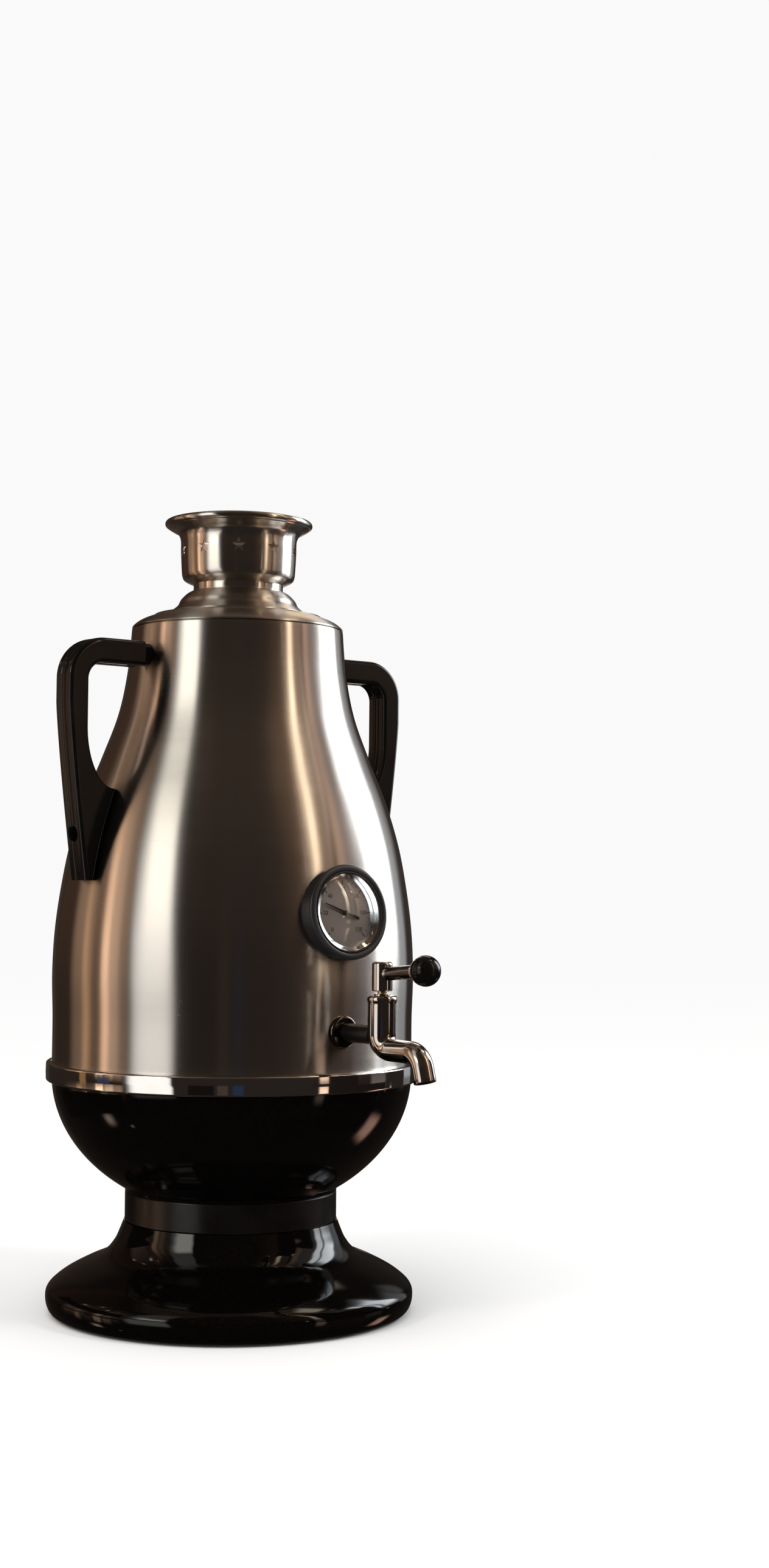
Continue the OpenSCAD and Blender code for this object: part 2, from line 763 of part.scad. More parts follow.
module gauge_case() {
  color([0.1, 0.1, 0.1]) difference() {
    at_gauge() difference() {
      translate([0, 0, -gauge_root]) cylinder(r = case_r, h = gauge_root + bezel_z);
      translate([0, 0, case_floor]) cylinder(r = pocket_r, h = gauge_proud);
      translate([0, 0, -gauge_root - 1]) cylinder(d = probe_d + 2 * seat_gap, h = 2 * gauge_root);
    }
    body_solid(seat_gap);
  }
}

module gauge_bezel() {
  r = gauge_d / 2;
  w = window_d / 2;
  bead = (r - w) * 0.26;
  groove = (r - w) * 0.18;
  color([0.06, 0.06, 0.06]) at_gauge() translate([0, 0, bezel_z])
    rotate_extrude() polygon(concat(
      [[w, 0], [r - bead, 0]],
      arc(r - bead, bezel_h - 0.2 - bead, bead, -80, 110, 8),
      arc(r - (r - w) * 0.62, bezel_h, groove, 330, 210, 4),
      [[w + 0.3, bezel_h], [w, bezel_h - 0.4]]
    ));
}

module gauge_inner_ring() {
  color([0.9, 0.9, 0.9]) at_gauge() translate([0, 0, dial_face])
    rotate_extrude() polygon([
      [pocket_r - 0.1, 0], [pocket_r - 0.1, bezel_z - dial_face],
      [pocket_r - 1.2, bezel_z - dial_face], [pocket_r - 2.2, 0]
    ]);
}

glass_t = 1.2;
glass_rise = 2.4;
module gauge_glass() {
  r = window_d / 2 - 0.1;
  radius = (r * r + glass_rise * glass_rise) / (2 * glass_rise);
  a = asin(r / radius);
  color([0.8, 0.9, 0.95, 0.3]) at_gauge() translate([0, 0, bezel_z])
    rotate_extrude() polygon(concat(
      [for (k = [0 : 8])
        let (b = a * k / 8)
        [radius * sin(b), glass_t + glass_rise - radius * (1 - cos(b))]],
      [for (k = [8 : -1 : 0]) let (b = a * k / 8) [radius * sin(b), glass_rise - radius * (1 - cos(b))]]
    ));
}

module gauge_dial() {
  color([0.75, 0.72, 0.66]) at_gauge() translate([0, 0, dial_face - dial_t])
    tube(pocket_r - 0.2, arbor_d / 2 + run_gap, dial_t);
}

// The stem: a probe in the tank, a thread through the wall and a bearing for the pointer's arbor
module gauge_stem() {
  color([0.8, 0.68, 0.4]) at_gauge() difference() {
    union() {
      translate([0, 0, 3 - steel_t - probe_l]) cylinder(d = probe_d - 1, h = probe_l - 3);
      translate([0, 0, 3 - steel_t - probe_l]) sphere(d = probe_d - 1);
      translate([0, 0, -steel_t - 9]) cylinder(d = probe_d, h = 9 + steel_t + dial_face - dial_t - seat_gap);
    }
    translate([0, 0, dial_face - arbor_l]) cylinder(d = arbor_d + 2 * run_gap, h = arbor_l + 1);
  }
}

module gauge_pointer() {
  color([0.05, 0.05, 0.05]) at_gauge() union() {
    translate([0, 0, dial_face - arbor_l + 0.3]) cylinder(d = arbor_d, h = arbor_l + pointer_lift);
    translate([0, 0, dial_face + pointer_lift - 0.3]) cylinder(d = 3, h = 1);
    rotate(pointer_angle) translate([0, 0, dial_face + pointer_lift - 0.2]) linear_extrude(0.5) union() {
      polygon([[0, 0.6], [tip_l, 0.15], [tip_l, -0.15], [0, -0.6]]);
      polygon([[0, 0.6], [-tail_l * 0.45, 0.5], [-tail_l * 0.55, 1], [-tail_l, 0.8], [-tail_l, -0.8],
        [-tail_l * 0.55, -1], [-tail_l * 0.45, -0.5], [0, -0.6]]);
    }
  }
}

// Inside the tank, a gasket and a nut clamp each fitting to the wall
gasket_t = 2;
wall_nut_w = 13;
wall_nut_h = 4;
module wall_gasket(skin, z, tilt, outer_d, bore_d) {
  reach = outer_d;
  difference() {
    intersection() {
      on_wall(skin, z, tilt) translate([0, 0, -reach]) tube(outer_d / 2, bore_d / 2 + seat_gap, reach);
      rotate_extrude($fn = fit_fn) polygon(concat(
        [[0, body_foot]], shifted(body_curve, steel_t + seat_gap), [[0, body_top]]
      ));
    }
    on_wall(skin, z, tilt) translate([0, 0, -steel_t - gasket_t - reach])
      cylinder(d = outer_d + 2, h = reach);
  }
}

module wall_nut(bore_d) {
  translate([0, 0, -steel_t - gasket_t - wall_nut_h]) hex_nut(wall_nut_w, wall_nut_h, bore_d + 2 * seat_gap);
}

module gauge_gasket() {
  color([0.5, 0.2, 0.15]) wall_gasket(gauge_skin, gauge_z, gauge_tilt, probe_d + 8, probe_d);
}

module gauge_nut() {
  color([0.8, 0.68, 0.4]) at_gauge() wall_nut(probe_d);
}

// ---- tap ----------------------------------------------------------------------------

tap_z = band_top + tap_rise;
tap_skin = body_radius(tap_z);
barrel_y = belly_r + barrel_out;
spout_y = barrel_y + spout_reach;
barrel_r = barrel_d / 2;
barrel_top = tap_z + barrel_rise;
pipe_z = tap_z - pipe_drop;
pipe_r = spout_d / 2;
mouth_z = tap_z - spout_drop;
sleeve_start = tap_skin + 3.2;
hub_z = barrel_top + 2.2;
lever_z = hub_z + hub_h * 0.57;
gland_h = 4;
plug_z = pipe_z + 1;
// The barrel's round lower end, level with the underside of the pipe
barrel_foot = pipe_z - pipe_r - 0.2;

module tap_rosette() {
  h = 3.2;
  color([0.85, 0.85, 0.85]) difference() {
    forward(tap_z) rotate_extrude() polygon(concat(
      [[shank_d / 2 + seat_gap, tap_skin - 4], [rosette_d / 2, tap_skin - 4]],
      [[rosette_d / 2, tap_skin + 0.6]],
      arc(rosette_d / 2 - 2, tap_skin + 0.8, 2, 0, 70, 4),
      [[sleeve_d / 2 + 1, tap_skin + h], [shank_d / 2 + seat_gap, tap_skin + h]]
    ));
    body_solid(seat_gap);
  }
}

module tap_sleeve() {
  edge = 0.6;
  color([0.05, 0.05, 0.05]) forward(tap_z) translate([0, 0, sleeve_start]) rotate_extrude() polygon([
    [shank_d / 2 + seat_gap, 0], [sleeve_d / 2 - edge, 0], [sleeve_d / 2, edge],
    [sleeve_d / 2, sleeve_l - edge], [sleeve_d / 2 - edge, sleeve_l], [shank_d / 2 + seat_gap, sleeve_l]
  ]);
}

// The spout's bend turns through this angle, and its end runs straight to the mouth
bend_angle = 90 - mouth_tilt;
end_l = (pipe_z - bend_r * (1 - sin(mouth_tilt)) - mouth_z) / cos(mouth_tilt);
bend_y = spout_y - bend_r * cos(mouth_tilt) - end_l * sin(mouth_tilt);

// Children drawn down from the mouth's centre, along the end of the spout
module at_mouth() {
  translate([0, -spout_y, mouth_z]) rotate([-mouth_tilt, 0, 0]) children();
}

// The spout from the barrel to its mouth, as a solid bar of radius r that sticks out by extra at the mouth.
// The bend is a touch fatter than the straight runs, which reach a little way into it.
module spout_run(r, extra) {
  fatter = 0.05;
  reach = 0.5;
  translate([0, -barrel_y, pipe_z]) rotate([90, 0, 0]) cylinder(r = r, h = bend_y - barrel_y + reach);
  translate([0, -bend_y, pipe_z - bend_r]) rotate([0, -90, 0]) rotate([0, 0, -bend_angle])
    rotate_extrude(angle = bend_angle) translate([bend_r, 0]) circle(r = r + fatter);
  at_mouth() translate([0, 0, -extra]) cylinder(r = r, h = end_l + extra + reach);
}

module tap_body() {
  color([0.8, 0.78, 0.76]) difference() {
    union() {
      forward(tap_z) translate([0, 0, tap_skin - steel_t - gasket_t - 7])
        cylinder(d = shank_d, h = barrel_y - tap_skin + steel_t + gasket_t + 7);
      translate([0, -barrel_y, 0]) rotate_extrude() polygon(concat(
        arc(0, barrel_foot + barrel_r, barrel_r, -90, 0, 8),
        [[barrel_r, barrel_top - 3.4], [barrel_r + 0.5, barrel_top - 3]],
        arc(barrel_r - 0.7, barrel_top - 1.2, 1.2, 0, 90, 4),
        [[0, barrel_top]]
      ));
      spout_run(pipe_r, 0);
    }
    spout_run(spout_bore / 2, 1);
    forward(tap_z) cylinder(d = 4.4, h = barrel_y);
    translate([0, -barrel_y, plug_z]) cylinder(d = plug_d + 2 * run_gap, h = far);
  }
}

module tap_gland() {
  color([0.75, 0.72, 0.7]) translate([0, -barrel_y, barrel_top - gland_h])
    tube(plug_d / 2 - seat_gap, stem_d / 2 + run_gap, gland_h + 0.8);
}

// The plug turns in the barrel, with a cross bore that meets the inlet when the tap is open
module tap_plug() {
  plug_top = barrel_top - gland_h - 0.3;
  color([0.8, 0.7, 0.45]) translate([0, -barrel_y, 0]) difference() {
    union() {
      translate([0, 0, plug_z + 0.3]) cylinder(d = plug_d, h = plug_top - plug_z - 0.3);
      translate([0, 0, plug_top - 1]) cylinder(d = stem_d, h = hub_z - plug_top + 1);
    }
    translate([0, 0, tap_z]) rotate([0, 90, 0]) cylinder(d = 4, h = plug_d / 2 + 1);
    translate([0, 0, plug_z]) cylinder(d = 4.6, h = tap_z - plug_z + 1);
  }
}

module tap_lever() {
  hub_r = hub_d / 2;
  color([0.5, 0.48, 0.46]) translate([0, -barrel_y, 0]) union() {
    translate([0, 0, hub_z]) rotate_extrude() polygon(concat(
      [[0, 0], [hub_r - 0.5, 0], [hub_r, 0.5]],
      arc(hub_r - 2, hub_h - 2, 2, 0, 90, 5),
      [[0, hub_h]]
    ));
    translate([0, 0, lever_z]) rotate([90 - lever_tilt, 0, 0])
      cylinder(d = lever_d, h = lever_l - knob_d * 0.36);
  }
}

// The ball is cut flat where it meets the lever's arm
knob_flat = -asin(0.72);
module tap_knob() {
  color([0.08, 0.07, 0.07]) translate([0, -barrel_y, lever_z]) rotate([90 - lever_tilt, 0, 0])
    translate([0, 0, lever_l]) rotate_extrude()
      polygon(concat([[0, -knob_d * 0.36]], arc(0, 0, knob_d / 2, knob_flat, 90, 14)));
}

module tap_gasket() {
  color([0.5, 0.2, 0.15]) wall_gasket(tap_skin, tap_z, 0, shank_d + 9, shank_d);
}

module tap_backnut() {
  color([0.8, 0.7, 0.45]) on_wall(tap_skin, tap_z, 0) wall_nut(shank_d);
}

// ---- lid and crown ------------------------------------------------------------------

// The lid's top, from its edge on the body to its flat middle: radius and height
lid_rim_z = body_top + rim_gap;
lid_shoulder_r = mouth_r - 11.5;
lid_step_r = lid_shoulder_r - 8.6;
lid_flat_r = collar_r + 1.6;
lid_top_curve = concat(
  [[mouth_r, lid_rim_z]],
  smooth([
    [mouth_r, lid_rim_z + 0.4], [mouth_r - 0.6, body_top + lid_h * 0.07],
    [mouth_r - 3.2, body_top + lid_h * 0.17], [mouth_r - 7, body_top + lid_h * 0.26],
    [lid_shoulder_r, body_top + lid_h * 0.335]
  ], 3),
  [
    [lid_shoulder_r - 0.8, body_top + lid_h * 0.375], [lid_shoulder_r - 2, body_top + lid_h * 0.37],
    [lid_step_r, body_top + lid_h * 0.38]
  ],
  smooth([
    [lid_step_r - 0.6, body_top + lid_h * 0.46], [mix(lid_step_r, lid_flat_r, 0.4), body_top + lid_h * 0.62],
    [mix(lid_step_r, lid_flat_r, 0.55), body_top + lid_h * 0.78],
    [mix(lid_step_r, lid_flat_r, 0.8), body_top + lid_h * 0.93], [lid_flat_r, crown_z]
  ], 3),
  [[0, crown_z]]
);
steam_ring_r = collar_r * 0.56;
bolt_d = 5;

module steam_holes(z) {
  for (k = [0 : steam_count - 1]) rotate(360 * k / steam_count)
    translate([steam_ring_r, 0, z]) cylinder(d = steam_d, h = 6, center = true);
}

module lid_shell() {
  color([0.74, 0.72, 0.69]) difference() {
    rotate_extrude() polygon(sheet(lid_top_curve, lid_t));
    steam_holes(crown_z);
    translate([0, 0, crown_z]) cylinder(d = bolt_d + 0.2, h = 10, center = true);
  }
}

// A ring spot-welded inside the lid, with a flange that rests on the body's mouth
module lid_skirt() {
  r = mouth_r - steel_t - skirt_gap;
  flange_r = mouth_r - lid_t - seat_gap;
  color([0.74, 0.72, 0.69]) rotate_extrude() polygon([
    [r - lid_t, body_top - skirt_h], [r, body_top - skirt_h], [r, lid_rim_z], [flange_r, lid_rim_z],
    [flange_r - 0.6, lid_rim_z + lid_t], [r - lid_t, lid_rim_z + lid_t]
  ]);
}

crown_curve = concat(
  [[collar_r, crown_z], [collar_r, crown_floor - 0.6]],
  [[collar_r + 1.2, crown_floor + 0.4], [crown_r - 2, crown_floor + 2.4]],
  smooth([
    [crown_r - 0.7, crown_floor + 4.4], [crown_r - 0.2, crown_floor + 8], [crown_r + 0.3, crown_floor + 18]
  ], 2),
  smooth([
    [crown_r + 0.4, crown_top - 12], [crown_r + 0.9, crown_top - 9.4], [crown_r + 2.2, crown_top - 7.2],
    [mix(crown_r, lip_r, 0.55), crown_top - 5.6], [lip_r - lip_bead_r, crown_top - 4.2]
  ], 3)
);
crown_floor_z = crown_z + collar_h - 1.4;
star_z = crown_floor + 18.6;
// Direction of the first star, from the tap
star_turn = -35;

module star(r) {
  polygon([for (k = [0 : 9])
    let (q = k % 2 == 0 ? r : r * 0.42, a = 90 + 36 * k)
    [q * cos(a), q * sin(a)]]);
}

module crown() {
  color([0.76, 0.73, 0.7]) difference() {
    rotate_extrude() union() {
      polygon(sheet(crown_curve, lid_t));
      translate([lip_r - lip_bead_r, crown_top - lip_bead_r]) circle(r = lip_bead_r);
      translate([0, crown_floor_z]) square([collar_r - 0.4, lid_t]);
    }
    for (k = [0 : star_count - 1])
      rotate(star_turn + 360 * k / star_count) translate([0, 4 - crown_r, star_z]) rotate([90, 0, 0])
        linear_extrude(8) star(star_r);
    steam_holes(crown_floor_z);
    translate([0, 0, crown_floor_z]) cylinder(d = bolt_d + 0.2, h = 10, center = true);
  }
}

module crown_bolt() {
  color([0.8, 0.8, 0.8]) translate([0, 0, crown_floor_z + lid_t])
    screw(bolt_d, 10, crown_floor_z + lid_t - crown_z + lid_t + 7);
}

module crown_nut() {
  color([0.8, 0.8, 0.8]) translate([0, 0, crown_z - lid_t - 4]) hex_nut(8, 4, bolt_d + 2 * seat_gap);
}

foot();
foot_ring();
base_plate();
tie_rod();
tie_rod_nut();
waist_ring();
bowl();
trim_band();
body_shell();
tank_floor();
heating_element();
element_nuts();
element_gaskets();
thermal_cutout();
cutout_clip();
clip_nut();
power_inlet();
inlet_pins();
inlet_screws();
handle_left();
handle_right();
handle_collars();
handle_upper_screws();
handle_lower_screws();
handle_nuts();
gauge_case();
gauge_bezel();
gauge_inner_ring();
gauge_glass();
gauge_dial();
gauge_pointer();
gauge_stem();
gauge_gasket();
gauge_nut();
tap_rosette();
tap_sleeve();
tap_body();
tap_gland();
tap_plug();
tap_lever();
tap_knob();
tap_gasket();
tap_backnut();
lid_shell();
lid_skirt();
crown();
crown_bolt();
crown_nut();
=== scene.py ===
"""An electric samovar: a steel tank on a black foot, with tap, thermometer, handles, lid and crown."""
import json
import math

import bmesh
import bpy
from mathutils import Matrix, Vector


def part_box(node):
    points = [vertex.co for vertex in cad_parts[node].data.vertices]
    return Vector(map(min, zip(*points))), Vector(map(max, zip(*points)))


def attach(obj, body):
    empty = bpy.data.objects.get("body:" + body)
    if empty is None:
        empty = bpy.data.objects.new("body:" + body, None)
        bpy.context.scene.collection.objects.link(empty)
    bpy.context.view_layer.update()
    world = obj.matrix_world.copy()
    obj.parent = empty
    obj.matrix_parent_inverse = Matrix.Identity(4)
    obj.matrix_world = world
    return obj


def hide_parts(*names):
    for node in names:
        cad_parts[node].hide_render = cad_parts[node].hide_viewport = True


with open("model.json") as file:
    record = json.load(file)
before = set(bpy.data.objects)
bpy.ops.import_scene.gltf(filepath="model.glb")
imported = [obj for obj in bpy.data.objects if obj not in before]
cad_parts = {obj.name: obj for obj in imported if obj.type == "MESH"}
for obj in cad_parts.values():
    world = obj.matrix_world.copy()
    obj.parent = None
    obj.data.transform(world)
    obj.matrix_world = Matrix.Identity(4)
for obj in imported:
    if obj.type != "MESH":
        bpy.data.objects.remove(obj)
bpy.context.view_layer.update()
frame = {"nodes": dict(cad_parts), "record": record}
MM = 0.001
SEGMENTS = 192
FINE_SEGMENTS = 256


# ---- sizes from the frame -------------------------------------------------------------------

def low(node):
    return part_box(node)[0]


def high(node):
    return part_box(node)[1]


WAIST_Z, WAIST_TOP = low("waist_ring").z, high("waist_ring").z
WAIST_R = high("waist_ring").x
FOOT_R = high("foot").x
FOOT_NECK_R = WAIST_R + 0.5 * MM
BAND_Z, BAND_TOP = low("trim_band").z, high("trim_band").z
BAND_R = high("trim_band").x
BODY_FOOT, BODY_TOP = low("body_shell").z, high("body_shell").z
BELLY_R = high("body_shell").x
MOUTH_R = high("lid_shell").x
CROWN_Z, CROWN_TOP = low("crown").z, high("crown").z
LIP_R = high("crown").x
HANDLE_REACH = high("handle_right").x
HANDLE_TOP, HANDLE_BOTTOM = high("handle_right").z, low("handle_right").z
HANDLE_W = 2 * high("handle_right").y
ARM_START = low("handle_right").x
GAUGE_Z = BAND_TOP + 82.9 * MM
GAUGE_R = high("gauge_bezel").x
DIAL_R = high("gauge_dial").x
BARREL_Y = -(low("tap_plug").y + high("tap_plug").y) / 2
TAP_Z = (low("tap_sleeve").z + high("tap_sleeve").z) / 2
SLEEVE_R = (high("tap_sleeve").z - low("tap_sleeve").z) / 2
HUB_Z, HUB_TOP = low("tap_lever").z, high("tap_lever").z

ENAMEL_T = 1.5 * MM
STEEL_T = 1.0 * MM
LID_T = 0.8 * MM

# Where the tap's metal is painted dark, as a painted reflection of the dark room, along Y: at the rosette,
# and from the arm's start beyond the hub
ROSETTE_Y = -107 * MM
ARM_Y = -BARREL_Y - 5.6 * MM


# ---- curves ---------------------------------------------------------------------------------

def mix(a, b, t):
    return a + (b - a) * t


def smooth(points, steps):
    """The smooth curve through the points, in so many steps from each point to the next."""
    last = len(points) - 1
    curve = []
    for i in range(last):
        a, b = Vector(points[max(i - 1, 0)]), Vector(points[i])
        d, e = Vector(points[i + 1]), Vector(points[min(i + 2, last)])
        for k in range(steps):
            t = k / steps
            curve.append((2 * b + (d - a) * t + (2 * a - 5 * b + 4 * d - e) * t ** 2
                          + (3 * b - a - 3 * d + e) * t ** 3) / 2)
    return curve + [Vector(points[last])]


def polar(r, degrees):
    a = math.radians(degrees)
    return Vector((r * math.cos(a), r * math.sin(a)))


def arc(x, y, r, start, end, steps):
    """Points on an arc about (x, y), with its angles in degrees."""
    angles = [math.radians(mix(start, end, k / steps)) for k in range(steps + 1)]
    return [Vector((x + r * math.cos(a), y + r * math.sin(a))) for a in angles]


def left_of(a, b):
    d = (Vector(b) - Vector(a)).normalized()
    return Vector((-d.y, d.x))


def shifted(curve, t):
    """The curve moved to its left by t."""
    moved = []
    last = len(curve) - 1
    for i, point in enumerate(curve):
        before = left_of(curve[max(i - 1, 0)], curve[max(i, 1)])
        after = left_of(curve[min(i, last - 1)], curve[min(i + 1, last)])
        middle = (before + after).normalized()
        moved.append(Vector(point) + middle * t / max(middle.dot(before), 0.3))
    return moved


def sheet(curve, t):
    """The outline of a sheet of thickness t to the left of the curve, with its two ends rounded."""
    outer, inner = [Vector(p) for p in curve], shifted(curve, t)
    return outer + end_cap(outer[-1], inner[-1]) + inner[::-1] + end_cap(inner[0], outer[0])


def end_cap(a, b):
    """Two points that round the end of a sheet, between its faces at a and b."""
    across = b - a
    out = Vector((across.y, -across.x)) * 0.3
    return [mix(a, b, 0.25) + out, mix(a, b, 0.75) + out]


def box_outline(x0, x1, y0, y1):
    return [(x0, y0), (x1, y0), (x1, y1), (x0, y1)]


def rounded(points, radius, steps=4):
    """The closed outline with each of its corners rounded, as far as its sides allow."""
    outline = []
    count = len(points)
    for i in range(count):
        before, corner, after = (Vector(points[(i + k) % count]) for k in (-1, 0, 1))
        to_before, to_after = before - corner, after - corner
        reach = min(radius, to_before.length * 0.45, to_after.length * 0.45)
        start = corner + to_before.normalized() * reach
        end = corner + to_after.normalized() * reach
        for k in range(steps + 1):
            t = k / steps
            outline.append(start * (1 - t) ** 2 + corner * 2 * t * (1 - t) + end * t ** 2)
    return outline


# ---- meshes ---------------------------------------------------------------------------------

def add_object(name, data):
    """A new object of the data, linked to the scene."""
    made = bpy.data.objects.new(name, data)
    bpy.context.scene.collection.objects.link(made)
    return made


def new_mesh(name, vertices, faces):
    mesh = bpy.data.meshes.new(name)
    mesh.from_pydata([tuple(v) for v in vertices], [], faces)
    return mesh


def filled_mesh(name, work):
    """A mesh of what was drawn in the bmesh work, which is freed."""
    mesh = bpy.data.meshes.new(name)
    work.to_mesh(mesh)
    work.free()
    return mesh


def new_piece(name, vertices, faces, sharp=35):
    """A mesh piece, smooth apart from edges that turn by more than sharp degrees."""
    piece = add_object(name, new_mesh(name, vertices, faces))
    tidy_mesh(piece)
    shade(piece, sharp)
    return piece


def tidy_mesh(piece):
    """Welds doubled points and turns all faces outward."""
    work = bmesh.new()
    work.from_mesh(piece.data)
    bmesh.ops.remove_doubles(work, verts=work.verts, dist=1e-6)
    bmesh.ops.dissolve_degenerate(work, edges=work.edges, dist=1e-7)
    bmesh.ops.recalc_face_normals(work, faces=work.faces)
    work.to_mesh(piece.data)
    work.free()


def shade(piece, sharp):
    piece.data.shade_smooth()
    piece.data.set_sharp_from_angle(angle=math.radians(sharp))


def skin(rings, closed=False):
    """Vertices and faces of the skin through rings of equal length, with flat ends unless closed."""
    size, count = len(rings[0]), len(rings)
    faces = []
    for i in range(count if closed else count - 1):
        here, there = i * size, (i + 1) % count * size
        for k in range(size):
            after = (k + 1) % size
            faces.append((here + k, here + after, there + after, there + k))
    if not closed:
        faces.append(tuple(range(size))[::-1])
        faces.append(tuple(range((count - 1) * size, count * size)))
    return [p for ring in rings for p in ring], faces


def lathe(name, outline, segments=SEGMENTS, sharp=35, place=None):
    """A piece turned about Z from a closed outline of (radius, height), then moved by the matrix place."""
    rings = []
    for s in range(segments):
        a = 2 * math.pi * s / segments
        rings.append([Vector((max(r, 0) * math.cos(a), max(r, 0) * math.sin(a), z)) for r, z in outline])
    piece = new_piece(name, *skin(rings, closed=True), sharp)
    if place is not None:
        piece.data.transform(place)
    return piece


def forward(z):
    """The matrix that lays a piece drawn along Z along -Y, at height z."""
    return Matrix.Translation((0, 0, z)) @ Matrix.Rotation(math.radians(90), 4, "X")


def on_wall(z, reach=6 * MM):
    """The matrix that lays a piece drawn along Z square to the front of the tank's wall, at height z."""
    drop = body_radius(z - reach) - body_radius(z + reach)
    turn = math.radians(90) - math.atan(drop / (2 * reach))
    return Matrix.Translation((0, -body_radius(z), z)) @ Matrix.Rotation(turn, 4, "X")


def sideways(z):
    """The matrix that lays a piece drawn along Z along X, at height z."""
    return Matrix.Translation((0, 0, z)) @ Matrix.Rotation(math.radians(90), 4, "Y")


def prism(name, outline, start, end):
    """A straight bar of the outline in XY, from height start to height end."""
    rings = [[Vector((x, y, z)) for x, y in outline] for z in (start, end)]
    return new_piece(name, *skin(rings))


def cut(piece, tools, sharp=35):
    """Takes the tools' shapes out of the piece, and deletes the tools."""
    return combine(piece, tools, "DIFFERENCE", sharp)


def join_solids(piece, others, sharp=35):
    """Makes one solid of the piece and the others."""
    return combine(piece, others, "UNION", sharp)


def combine(piece, others, operation, sharp):
    for other in others:
        modifier = piece.modifiers.new("combine", "BOOLEAN")
        modifier.operation = operation
        modifier.solver = "EXACT"
        modifier.object = other
    mesh = evaluated_mesh(piece)
    piece.modifiers.clear()
    piece.data = mesh
    mesh.name = piece.name
    for other in others:
        bpy.data.objects.remove(other)
    shade(piece, sharp)
    return piece


def evaluated_mesh(made):
    """A mesh of the object as its modifiers or its text leave it."""
    graph = bpy.context.evaluated_depsgraph_get()
    graph.update()
    return bpy.data.meshes.new_from_object(made.evaluated_get(graph))


def even_normals(piece):
    """Lets flat faces keep their shade next to small rounded edges."""
    modifier = piece.modifiers.new("even_normals", "WEIGHTED_NORMAL")
    modifier.keep_sharp = True
    modifier.weight = 80


def paint(piece, slot):
    piece.data.materials.clear()
    piece.data.materials.append(MATERIALS[slot])


def place(piece, body, slot, nodes=(), even=True):
    """Puts a piece on its body, with its slot's material, in place of the CAD nodes it stands for."""
    if even:
        even_normals(piece)
    paint(piece, slot)
    if nodes:
        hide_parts(*nodes)
    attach(piece, body)


# ---- materials ------------------------------------------------------------------------------

def scaled(color, factor):
    return tuple(c * factor for c in color)


class Finish:
    """A material with its Principled shader, and the few node patterns that the finishes share."""

    def __init__(self, name, color, metallic, roughness, **inputs):
        self.material = bpy.data.materials.new(name)
        self.material.use_nodes = True
        self.tree = self.material.node_tree
        self.shader = self.tree.nodes["Principled BSDF"]
        self.set("Base Color", (*color, 1))
        self.set("Metallic", metallic)
        self.set("Roughness", roughness)
        for key, value in inputs.items():
            self.set(key.replace("_", " "), value)
        self.coordinates = self.add("ShaderNodeTexCoord").outputs["Object"]

    def set(self, socket, value):
        self.shader.inputs[socket].default_value = value

    def add(self, kind, **settings):
        made = self.tree.nodes.new(kind)
        for key, value in settings.items():
            setattr(made, key, value)
        return made

    def link(self, source, target):
        self.tree.links.new(source, target)

    def math(self, operation, a, b):
        made = self.add("ShaderNodeMath", operation=operation)
        for value, socket in zip((a, b), made.inputs):
            if isinstance(value, (int, float)):
                socket.default_value = value
            else:
                self.link(value, socket)
        return made.outputs[0]

    def plus(self, a, b):
        return self.math("ADD", a, b)

    def times(self, a, b):
        return self.math("MULTIPLY", a, b)

    def split(self):
        """The object coordinates x, y and z, each on its own."""
        made = self.add("ShaderNodeSeparateXYZ")
        self.link(self.coordinates, made.inputs[0])
        return made.outputs

    def spun(self, across, along):
        """Coordinates for lines round the Z axis: across is their fineness, and along how fast they fade."""
        x, y, z = self.split()
        radius = self.math("SQRT", self.plus(self.times(x, x), self.times(y, y)), 0)
        joined = self.add("ShaderNodeCombineXYZ")
        self.link(self.times(self.plus(radius, z), across), joined.inputs[0])
        self.link(self.times(self.plus(x, self.times(z, 0.3)), along), joined.inputs[1])
        self.link(self.times(y, along), joined.inputs[2])
        return joined.outputs[0]

    def stretched(self, scale):
        """Object coordinates, scaled along each axis."""
        mapping = self.add("ShaderNodeMapping")
        mapping.inputs["Scale"].default_value = scale
        self.link(self.coordinates, mapping.inputs["Vector"])
        return mapping.outputs[0]

    def noise(self, scale, vector=None, detail=3, distortion=0):
        made = self.add("ShaderNodeTexNoise")
        made.inputs["Scale"].default_value = scale
        made.inputs["Detail"].default_value = detail
        made.inputs["Distortion"].default_value = distortion
        self.link(vector or self.coordinates, made.inputs["Vector"])
        return made.outputs["Fac"]

    def ramp(self, value, low, high, start=0.3, end=0.7):
        """The value's middle range, spread from low to high, which are numbers or colours."""
        made = self.add("ShaderNodeMapRange")
        made.inputs["From Min"].default_value = start
        made.inputs["From Max"].default_value = end
        self.link(value, made.inputs["Value"])
        if isinstance(low, (int, float)):
            made.inputs["To Min"].default_value = low
            made.inputs["To Max"].default_value = high
            return made.outputs["Result"]
        blend = self.add("ShaderNodeMix", data_type="RGBA")
        self.link(made.outputs["Result"], blend.inputs["Factor"])
        blend.inputs["A"].default_value = (*low, 1)
        blend.inputs["B"].default_value = (*high, 1)
        return blend.outputs["Result"]

    def bump(self, height, strength, distance=0.0002, under=None):
        made = self.add("ShaderNodeBump")
        made.inputs["Strength"].default_value = strength
        made.inputs["Distance"].default_value = distance
        self.link(height, made.inputs["Height"])
        if under is not None:
            self.link(under, made.inputs["Normal"])
        return made.outputs["Normal"]

    def into(self, socket, value):
        self.link(value, self.shader.inputs[socket])

    def haze(self):
        """Soft clouds of wiped marks, which also dent the surface faintly."""
        clouds = self.noise(60, detail=4, distortion=0.4)
        self.into("Normal", self.bump(clouds, 0.05, 0.00005))
        return clouds


